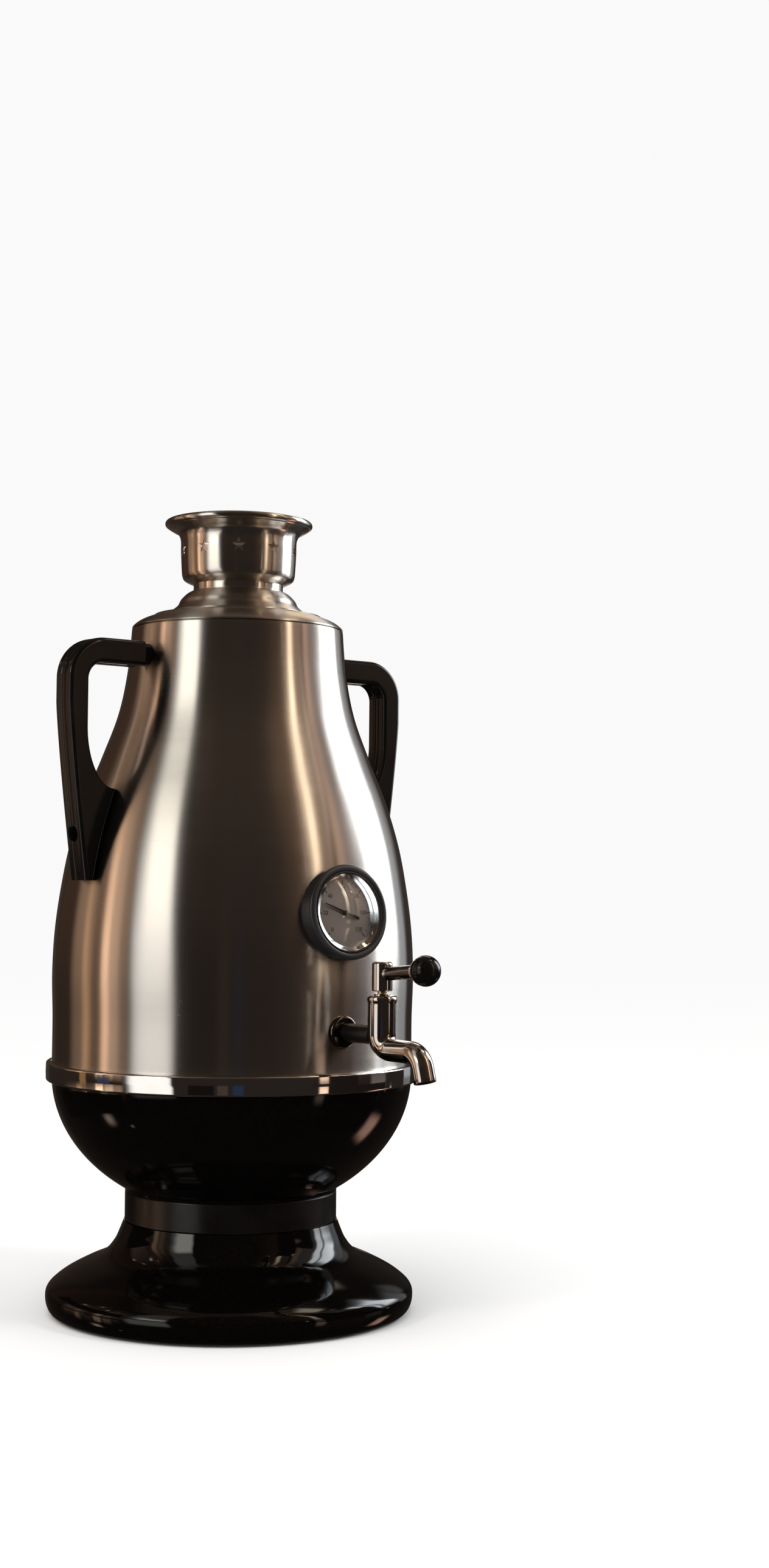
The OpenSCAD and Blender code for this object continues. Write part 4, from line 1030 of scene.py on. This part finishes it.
def bend_stations(steps=16):
    """The pipe's bend down to the mouth's direction."""
    stations = []
    for k in range(steps + 1):
        turn = BEND_TURN * k / steps
        a = math.radians(turn)
        stations.append((BEND_Y + BEND_R * math.sin(a), PIPE_Z - BEND_R * (1 - math.cos(a)), -turn, PIPE_R))
    return stations


def mouth_stations(y, z):
    """The pipe's end from the bend's last station at (y, z) to its rounded lip, and the bore back inside."""
    ends = [(mix(0.2, 0.93, k / 3), PIPE_R) for k in range(4)]
    ends += [(0.98, PIPE_R - 0.15 * MM), (1, PIPE_R - 0.5 * MM), (1, BORE_R + 0.3 * MM)]
    ends += [(0.97, BORE_R), (0.5, BORE_R), (-0.2, BORE_R)]
    return [(mix(y, SPOUT_Y, t), mix(z, MOUTH_Z, t), -BEND_TURN, radius) for t, radius in ends]


def tap_stations():
    """All stations, from the barrel's top round to the mouth."""
    pipe = straight((BARREL_Y + ELBOW_R + MM, PIPE_Z), (BEND_Y - 0.5 * MM, PIPE_Z), 0, PIPE_R, 4)
    bend = bend_stations()
    return barrel_stations() + elbow_stations() + pipe + bend + mouth_stations(*bend[-1][:2])


def tube_rings(stations, sides=48):
    """Rings of the tube in the plane x = 0 through the stations."""
    rings = []
    for y, z, direction, radius in stations:
        a = math.radians(direction)
        up = Vector((0, math.sin(a), math.cos(a)))
        ring = []
        for k in range(sides):
            b = 2 * math.pi * k / sides
            ring.append(Vector((radius * math.cos(b), -y, z)) + up * radius * math.sin(b))
        rings.append(ring)
    return rings


SHANK_R, SHANK_START = 3.2 * MM, 86 * MM
SHANK_HOLE_R = 3.3 * MM
GLAND_R, GLAND_HOLE_R = 4.1 * MM, 2.4 * MM
AT_SHANK = forward(TAP_Z)
AT_BARREL = Matrix.Translation((0, -BARREL_Y, 0))


def make_tap_body():
    """The barrel and its pipe, with the shank that runs back through the tank's wall."""
    piece = new_piece("tap_casting", *skin(tube_rings(tap_stations())))
    shank = rounded(box_outline(0, SHANK_R, SHANK_START, BARREL_Y - 2 * MM), 0.4 * MM, 3)
    return join_solids(piece, [lathe("shank", shank, 48, place=AT_SHANK)], 40)


def make_rosette():
    """The round flange on the wall, with a short neck round the sleeve."""
    wall, r, neck_r = body_radius(TAP_Z), 8.6 * MM, SLEEVE_R + 0.6 * MM
    back, face, edge = wall - 1.5 * MM, wall + 3.2 * MM, 1.6 * MM
    outline = [(SHANK_HOLE_R, back), (r, back)] + arc(r - edge, wall + 0.6 * MM, edge, 0, 75, 8)
    outline += [(neck_r, wall + 2.4 * MM), (neck_r, face), (SHANK_HOLE_R, face)]
    return lathe("tap_flange", outline, 96, place=AT_SHANK)


def make_sleeve():
    """The black sleeve on the shank, from the rosette to the barrel."""
    outline = box_outline(SHANK_HOLE_R, SLEEVE_R, -high("tap_sleeve").y, BARREL_Y - BARREL_R + 0.6 * MM)
    return lathe("tap_spacer", rounded(outline, 0.7 * MM, 5), 64, place=AT_SHANK)


def make_gland():
    """The nut in the barrel's top, round the plug's stem."""
    outline = box_outline(GLAND_HOLE_R, GLAND_R, BARREL_TOP - 4 * MM, BARREL_TOP + 0.8 * MM)
    return lathe("tap_seal_nut", rounded(outline, 0.3 * MM, 3), 64, place=AT_BARREL)


HUB_R, HUB_H = 5.3 * MM, HUB_TOP - HUB_Z
LEVER_R = 3.5 * MM
LEVER_L = 34.2 * MM
LEVER_TILT = math.radians(5)
KNOB_R, KNOB_FLAT_R = 7.8 * MM, 4.4 * MM
KNOB_SEAT_SHARE = 0.72
KNOB_SEAT = LEVER_L - KNOB_R * KNOB_SEAT_SHARE
ALONG_LEVER = (AT_BARREL @ Matrix.Translation((0, 0, HUB_Z + HUB_H * 0.57))
               @ Matrix.Rotation(math.radians(90) - LEVER_TILT, 4, "X"))


def make_lever():
    """The hub on the plug's stem, and the arm with a small collar under the ball."""
    r, h, edge = HUB_R, HUB_H, 1.8 * MM
    outline = [(0, 0), (r - 0.5 * MM, 0), (r, 0.5 * MM), (r, h - 3 * MM)]
    outline += arc(r - edge, h - edge, edge, 0, 90, 8) + [(0, h)]
    hub = lathe("lever_arm", outline, 64, place=AT_BARREL @ Matrix.Translation((0, 0, HUB_Z)))
    end, collar_r = KNOB_SEAT, 4.9 * MM
    rod = rounded([(0, 0), (LEVER_R, 0), (LEVER_R, end - 3.4 * MM), (collar_r, end - 2 * MM), (collar_r, end),
                   (0, end)], 0.3 * MM, 3)
    return join_solids(hub, [lathe("arm", rod, 48, place=ALONG_LEVER)], 40)


def make_knob():
    """A ball with a flat seat where it meets the arm."""
    start = -math.degrees(math.asin(KNOB_SEAT_SHARE))
    outline = [(0, KNOB_SEAT), (KNOB_FLAT_R, KNOB_SEAT)] + arc(0, LEVER_L, KNOB_R, start, 90, 40)
    return lathe("ball_knob", outline, 96, place=ALONG_LEVER)


# ---- putting it together --------------------------------------------------------------------

def dress_cad_nodes():
    """Gives every CAD node the material of its slot."""
    for entry in frame["record"]["subparts"]:
        paint(frame["nodes"][entry["node"]], entry["material_slot"])


def build():
    dress_cad_nodes()
    place(make_foot(), "base", "black_enamel", ["foot"])
    place(make_waist_ring(), "base", "black_satin_plastic", ["waist_ring"])
    place(make_bowl(), "base", "black_enamel", ["bowl"])
    place(make_band(), "base", "mirror_chrome", ["trim_band"])
    place(make_body(), "base", "brushed_steel", ["body_shell"])
    place(make_lid_cover(), "lid", "lid_steel", ["lid_shell", "lid_skirt"])
    place(make_crown(), "lid", "lid_steel", ["crown"])
    place(make_handle("left_grip", 180), "base", "bakelite", ["handle_left"])
    place(make_handle("right_grip", 0), "base", "bakelite", ["handle_right"])
    place(make_gauge_case(), "base", "gauge_black", ["gauge_case"])
    place(make_gauge_bezel(), "base", "gauge_black", ["gauge_bezel"])
    place(make_inner_ring(), "base", "mirror_chrome", ["gauge_inner_ring"])
    place(make_glass(), "base", "glass", ["gauge_glass"], even=False)
    place(make_dial(), "base", "dial_paint", ["gauge_dial"])
    place(make_dial_marks(), "base", "pointer_black")
    for value in range(0, DIAL_TOP_VALUE + 1, NUMBER_STEP):
        place(make_number(value), "base", "pointer_black", even=False)
    place(make_pointer(), "pointer", "pointer_black", ["gauge_pointer"])
    place(make_rosette(), "base", "tap_chrome", ["tap_rosette"])
    place(make_sleeve(), "base", "black_satin_plastic", ["tap_sleeve"])
    place(make_tap_body(), "base", "tap_chrome", ["tap_body"])
    place(make_gland(), "base", "tap_chrome", ["tap_gland"])
    place(make_lever(), "tap_turning", "tap_chrome", ["tap_lever"])
    place(make_knob(), "tap_turning", "bakelite", ["tap_knob"])


build()


# ---- floor, light and camera ----------------------------------------------------------------

VIEW_AZIMUTH = -35
CAMERA_DISTANCE = 1.182
CAMERA_HEIGHT = 0.239
CAMERA_YAW, CAMERA_PITCH, CAMERA_ROLL = (math.radians(a) for a in (4.03, 2.53, 0.52))
FOCAL_PX, IMAGE_H_PX = 3469, 2576
SENSOR_MM = 36


def make_camera():
    """The camera, first set up in front of the object and then turned round it to the view's azimuth."""
    ahead = Vector((math.sin(CAMERA_YAW) * math.cos(CAMERA_PITCH),
                    math.cos(CAMERA_YAW) * math.cos(CAMERA_PITCH), math.sin(CAMERA_PITCH)))
    right = Vector((math.cos(CAMERA_YAW), -math.sin(CAMERA_YAW), 0))
    up = right.cross(ahead)
    x_axis = right * math.cos(CAMERA_ROLL) + up * math.sin(CAMERA_ROLL)
    y_axis = up * math.cos(CAMERA_ROLL) - right * math.sin(CAMERA_ROLL)
    turn = Matrix((x_axis, y_axis, -ahead)).transposed().to_4x4()
    spot = Matrix.Translation((0, -CAMERA_DISTANCE, CAMERA_HEIGHT))
    data = bpy.data.cameras.new("camera")
    data.sensor_fit = "VERTICAL"
    data.sensor_height = SENSOR_MM
    data.lens = SENSOR_MM * FOCAL_PX / IMAGE_H_PX
    data.clip_start, data.clip_end = 0.01, 100
    camera = add_object("camera", data)
    camera.matrix_world = Matrix.Rotation(math.radians(VIEW_AZIMUTH), 4, "Z") @ spot @ turn
    bpy.context.scene.camera = camera


def around(bearing, distance, height):
    """The point at a bearing from the camera's side of the object: 0 is towards it, 90 to its right."""
    a = math.radians(VIEW_AZIMUTH + bearing)
    return Vector((distance * math.sin(a), -distance * math.cos(a), height))


TENT_R, TENT_Z = 1.6, 0.25
ROOM_R = TENT_R + 0.3
SCREEN_R = 0.2


def emission(name, color):
    material = bpy.data.materials.new(name)
    material.use_nodes = True
    tree = material.node_tree
    tree.nodes.clear()
    glow = tree.nodes.new("ShaderNodeEmission")
    glow.inputs["Color"].default_value = (*color, 1)
    glow.inputs["Strength"].default_value = 1
    output = tree.nodes.new("ShaderNodeOutputMaterial")
    tree.links.new(glow.outputs[0], output.inputs["Surface"])
    return material


def glow_material(name, color):
    """Light whose strength follows the mesh's glow, and which is clear where there is none."""
    material = emission(name, color)
    tree = material.node_tree
    glow = tree.nodes.new("ShaderNodeAttribute")
    glow.attribute_name = "glow"
    clear = tree.nodes.new("ShaderNodeBsdfTransparent")
    blend = tree.nodes.new("ShaderNodeMixShader")
    tree.links.new(glow.outputs["Fac"], blend.inputs["Fac"])
    tree.links.new(clear.outputs[0], blend.inputs[1])
    tree.links.new(tree.nodes["Emission"].outputs[0], blend.inputs[2])
    tree.links.new(blend.outputs[0], tree.nodes["Material Output"].inputs["Surface"])
    return material


def edge_fade(value, start, end, soft_start, soft_end):
    """How far the value is past the soft edges of its range, from 0 to 1."""
    fade = 1
    if soft_start:
        fade *= min(max((value - start) / soft_start, 0), 1)
    if soft_end:
        fade *= min(max((end - value) / soft_end, 0), 1)
    return fade * fade * (3 - 2 * fade)


def panel(name, mesh, material):
    """Shows the mesh in reflections and through glass, where it neither lights nor shades anything else."""
    mesh.materials.append(material)
    made = add_object(name, mesh)
    made.visible_camera = False
    made.visible_diffuse = False
    made.visible_shadow = False


def grid_faces(columns, rows):
    """Faces of a grid whose vertices are counted along each row in turn."""
    faces = []
    for j in range(rows):
        for i in range(columns):
            k = j * (columns + 1) + i
            faces.append((k, k + 1, k + columns + 2, k + columns + 1))
    return faces


def card(name, bearings, elevations, color, lean=0, soft=(0, 0, 0, 0), distance=TENT_R):
    """A curved reflector between two bearings and two elevations, in degrees.

    Lean turns it further round for each degree of elevation. Soft gives the widths of its soft edges:
    first, last, lower and upper.
    """
    columns, rows = 16, 24
    vertices, glow = [], []
    for j in range(rows + 1):
        elevation = mix(*elevations, j / rows)
        e = math.radians(elevation)
        row_glow = edge_fade(elevation, *elevations, *soft[2:])
        for i in range(columns + 1):
            bearing = mix(*bearings, i / columns)
            reach, height = distance * math.cos(e), TENT_Z + distance * math.sin(e)
            vertices.append(around(bearing + lean * elevation, reach, height))
            glow.append(edge_fade(bearing, *bearings, *soft[:2]) * row_glow)
    mesh = new_mesh(name, vertices, grid_faces(columns, rows))
    mesh.shade_smooth()
    mesh.attributes.new("glow", "FLOAT", "POINT").data.foreach_set("value", glow)
    panel(name, mesh, glow_material(name, color))


def dark_screen(name, bearings, bottom, top, columns=12):
    """A dark upright screen close to the samovar, which keeps the room's lights off that side of the foot."""
    across = [mix(*bearings, i / columns) for i in range(columns + 1)]
    vertices = [around(bearing, SCREEN_R, z) for z in (bottom, top) for bearing in across]
    mesh = new_mesh(name, vertices, grid_faces(columns, 1))
    panel(name, mesh, emission(name, (0.012, 0.009, 0.008)))


def make_dark_room():
    """The dark room that the polished metal shows all round."""
    ball = bmesh.new()
    bmesh.ops.create_uvsphere(ball, u_segments=48, v_segments=24, radius=ROOM_R)
    bmesh.ops.translate(ball, verts=ball.verts, vec=(0, 0, TENT_Z))
    panel("dark_room", filled_mesh("dark_room", ball), emission("dark_room", (0.023, 0.018, 0.0155)))


# A card that stands nearer than another covers it
FAR, NEAR, FRONT = TENT_R + 0.1, TENT_R - 0.1, TENT_R - 0.2


def make_left_wall():
    """A faint haze over the front, and the bronze wall on the left with its stripes."""
    card("ceiling_haze", (-40, 48), (8, 80), (0.040, 0.029, 0.022), soft=(12, 12, 14, 10), distance=FAR)
    card("bronze_wall", (-123, -66), (-22, 52), (0.37, 0.24, 0.16), soft=(7, 2, 12, 46), distance=FAR)
    card("bronze_stripe_a", (-108, -100), (-26, 18), (0.98, 0.58, 0.33), soft=(3, 3, 8, 18))
    card("bronze_dip", (-98, -89), (-26, 50), (0.19, 0.11, 0.078), soft=(2, 2, 8, 10))
    card("bronze_stripe_b", (-89, -81.5), (-26, 44), (2.1, 1.34, 0.88), soft=(1.5, 1.5, 8, 46), distance=NEAR)
    card("bronze_stripe_c", (-81.5, -73.5), (-26, 44), (0.80, 0.55, 0.39), soft=(1, 2, 8, 40))


def make_ceiling():
    """The ceiling with its brighter sides, and two high windows that the lid shows."""
    card("ceiling", (-180, 180), (50, 88), (0.16, 0.125, 0.098), soft=(0, 0, 14, 0), distance=FAR + 0.05)
    card("ceiling_right", (28, 112), (44, 84), (0.34, 0.235, 0.16), soft=(20, 20, 14, 10), distance=FAR)
    card("ceiling_window", (84, 107), (51, 66), (4.0, 3.3, 2.6), soft=(6, 6, 4, 5), distance=NEAR)
    card("rear_window", (146, 174), (34, 53), (2.4, 1.9, 1.4), soft=(6, 4, 5, 5), distance=NEAR)
    card("ceiling_left", (-112, -40), (50, 84), (0.16, 0.11, 0.075), soft=(16, 16, 14, 10), distance=FAR)


def make_low_patches():
    """Small dark and coloured things in front and low on the left, and the wall at the far left."""
    card("brown_patch", (-9, -2), (-16, -6.5), (0.06, 0.045, 0.036), soft=(1, 1, 1, 1), distance=FRONT)
    card("blue_patch", (0, 7), (-16, -6.5), (0.02, 0.033, 0.066), soft=(1, 1, 1, 1), distance=FRONT)
    card("dark_patch", (-26, -10), (-16, -6.5), (0.008, 0.006, 0.005), soft=(1, 1, 1, 1), distance=FRONT)
    card("far_left_wall", (-150, -120), (-8, 50), (0.058, 0.033, 0.022), soft=(6, 4, 8, 12))
    card("low_shade_left", (-128, -64), (-13.5, -6), (0.026, 0.017, 0.013), soft=(3, 1, 1.5, 1.5),
         distance=FRONT)
    glint = {"soft": (1, 1, 1, 1), "distance": FRONT - 0.02}
    card("ochre_glint", (-103, -96), (-13, -6.5), (0.26, 0.14, 0.06), **glint)
    card("blue_glint", (-87, -76), (-13, -6.5), (0.035, 0.04, 0.075), **glint)


def make_key():
    """The bright wall and window left of the camera."""
    card("key_card", (-65, -36.5), (-20, 66), (0.62, 0.60, 0.555), lean=-0.16, soft=(3, 2, 8, 16),
         distance=NEAR)
    card("key_low", (-68, -36), (-20, 26), (1.3, 1.27, 1.24), lean=-0.16, soft=(8, 2.5, 6, 24),
         distance=NEAR - 0.05)
    card("key_window", (-65, -40), (15, 31), (4.6, 4.4, 3.95), soft=(8, 3, 2, 8), distance=NEAR - 0.08)


def make_amber_wall():
    """The amber wall right of the camera, with two bright stripes."""
    card("amber_haze_left", (24, 53), (4, 66), (0.15, 0.09, 0.057), lean=0.14, soft=(22, 2, 28, 20))
    card("amber_card_a", (51, 58), (-4, 58), (4.8, 3.75, 2.7), lean=0.14, soft=(2, 2, 40, 16), distance=NEAR)
    card("amber_low_stripe", (51.5, 60), (-26, -1), (1.35, 0.95, 0.70), soft=(2, 3, 8, 3), distance=NEAR)
    card("amber_gap", (57, 68), (-8, 58), (0.32, 0.215, 0.155), lean=0.14, soft=(1, 2, 10, 20))
    card("amber_card_b", (70, 79), (-4, 58), (0.90, 0.60, 0.44), lean=0.14, soft=(2, 3, 26, 20),
         distance=NEAR)
    card("amber_haze", (76, 99), (-4, 58), (0.40, 0.32, 0.285), soft=(3, 3, 20, 20))
    card("amber_low", (52, 97), (-40, 0), (0.05, 0.034, 0.03), soft=(4, 4, 12, 8))
    card("low_shade_right", (46, 92), (-13.5, -6), (0.02, 0.0145, 0.013), soft=(2, 3, 1.5, 1.5),
         distance=FRONT)


def make_window():
    """The window on the right: two panes, the glow round them, and the wall beside it."""
    card("window_left_pane", (99.5, 109), (0, 41), (7.0, 7.3, 7.6), soft=(2, 0.8, 10, 4), distance=NEAR)
    card("window_right_pane", (111.5, 128), (-1, 38), (7.0, 7.3, 7.6), lean=-0.02, soft=(0.8, 2, 10, 8),
         distance=NEAR)
    card("window_glow", (98.5, 130), (-6, 44), (1.0, 1.02, 1.03), lean=-0.03, soft=(2.5, 3, 6, 8))
    card("window_low", (88, 106), (-24, -5), (0.15, 0.125, 0.115), soft=(4, 3, 6, 3), distance=NEAR)
    card("window_side", (128, 142), (-14, 27), (0.44, 0.46, 0.49), soft=(1, 3, 8, 9), distance=FAR - 0.05)
    card("window_wall", (139, 151), (2, 26), (0.28, 0.26, 0.25), soft=(2, 5, 8, 9))


def make_rear():
    """What stands behind the samovar, and a warm card low on the right."""
    card("far_right_wall", (148, 170), (-10, 24), (0.04, 0.032, 0.027), soft=(4, 5, 8, 10))
    card("warm_side_card", (103, 121), (-43, -25), (2.8, 1.6, 1.2), soft=(6, 6, 6, 6))
    card("rear_card", (170, 188), (-14, 58), (0.62, 0.56, 0.50), soft=(2, 4, 6, 12), distance=NEAR)
    card("rear_wall", (184, 214), (-30, 30), (0.05, 0.036, 0.027), soft=(4, 8, 10, 12))


# Bearing, elevation and half-width in degrees, and strength
SMALL_LAMPS = [
    (46.9, 2.3, 1, 26), (-84.5, -22.6, 0.9, 7), (-102, -15.6, 0.9, 3.5), (111, -13.5, 1.4, 6),
    (74, 33, 2.2, 5), (71, 26, 1.6, 2), (100, 47, 2, 2.5), (-118.5, 27, 2.6, 2.2), (-113, 37, 2.4, 2),
    (-97, 33.5, 2.6, 5), (-90, 38, 2, 1.2), (-90, -33, 6, 3), (-74, -40, 1.5, 3),
]


def make_small_lamps():
    """Small warm lamps, which show as glints."""
    for i, (bearing, elevation, size, strength) in enumerate(SMALL_LAMPS):
        card(f"small_lamp_{i}", (bearing - size, bearing + size), (elevation - size, elevation + size),
             scaled((1, 0.8, 0.66), strength), soft=(size, size, size, size), distance=NEAR - 0.05)


def make_screens():
    dark_screen("right_screen", (45, 62), 0.002, 0.185)
    dark_screen("low_right_screen", (62, 83), 0.002, 0.115)
    dark_screen("left_screen", (-112, -56), 0.055, 0.1)
    dark_screen("low_left_screen", (-56, -30), 0.055, 0.07)


FLOOR_HALF = 60
WORLD_LIGHT, WORLD_BACKDROP = 0.85, 0.95
LAMP_TARGET = Vector((0, 0, 0.2))


def make_floor():
    """A plain pale floor, wide enough to reach the horizon."""
    corners = [(x, y, 0) for x, y in box_outline(-FLOOR_HALF, FLOOR_HALF, -FLOOR_HALF, FLOOR_HALF)]
    mesh = new_mesh("floor", corners, [(0, 1, 2, 3)])
    matt = Finish("floor_paint", (0.86, 0.86, 0.86), 0, 0.9)
    matt.set("Specular IOR Level", 0.0)
    mesh.materials.append(matt.material)
    floor = add_object("floor", mesh)
    floor.visible_glossy = False
    floor.visible_transmission = False


def make_world():
    """Plain soft light all round, which cameras and reflections see as a pale backdrop."""
    world = bpy.data.worlds.new("studio")
    bpy.context.scene.world = world
    world.use_nodes = True
    tree = world.node_tree
    tree.nodes.clear()
    path = tree.nodes.new("ShaderNodeLightPath")
    seen = path.outputs["Is Camera Ray"]
    for ray in ("Is Glossy Ray", "Is Transmission Ray"):
        either = tree.nodes.new("ShaderNodeMath")
        either.operation = "MAXIMUM"
        tree.links.new(seen, either.inputs[0])
        tree.links.new(path.outputs[ray], either.inputs[1])
        seen = either.outputs[0]
    choose = tree.nodes.new("ShaderNodeMixShader")
    tree.links.new(seen, choose.inputs["Fac"])
    for socket, strength in ((1, WORLD_LIGHT), (2, WORLD_BACKDROP)):
        sky = tree.nodes.new("ShaderNodeBackground")
        sky.inputs["Color"].default_value = (1, 1, 1, 1)
        sky.inputs["Strength"].default_value = strength
        tree.links.new(sky.outputs[0], choose.inputs[socket])
    output = tree.nodes.new("ShaderNodeOutputWorld")
    tree.links.new(choose.outputs[0], output.inputs["Surface"])


def aimed(direction):
    """The matrix that turns a lamp to shine along the direction."""
    return direction.to_track_quat("-Z", "Y").to_matrix().to_4x4()


def add_lamp(data, matrix):
    """A lamp that doesn't show in reflections."""
    made = add_object(data.name, data)
    made.matrix_world = matrix
    made.visible_glossy = False


def area_lamp(name, bearing, distance, height, size, power, color):
    """A soft square lamp that looks at the middle of the object."""
    data = bpy.data.lights.new(name, "AREA")
    data.size, data.energy, data.color = size, power, color
    spot = around(bearing, distance, height)
    add_lamp(data, Matrix.Translation(spot) @ aimed(LAMP_TARGET - spot))


def make_lamps():
    area_lamp("window_lamp", 62, 1.5, 1.3, 0.35, 9, (1.0, 0.98, 0.96))
    area_lamp("warm_lamp", -48, 1.5, 1.2, 0.3, 5, (1.0, 0.86, 0.72))
    sun = bpy.data.lights.new("soft_sun", "SUN")
    sun.energy, sun.angle = 0.9, math.radians(40)
    add_lamp(sun, aimed(-around(-30, 1, 2)))


make_camera()
make_dark_room()
make_left_wall()
make_ceiling()
make_low_patches()
make_key()
make_amber_wall()
make_window()
make_rear()
make_small_lamps()
make_screens()
make_floor()
make_world()
make_lamps()
bpy.context.scene.view_settings.view_transform = "Standard"
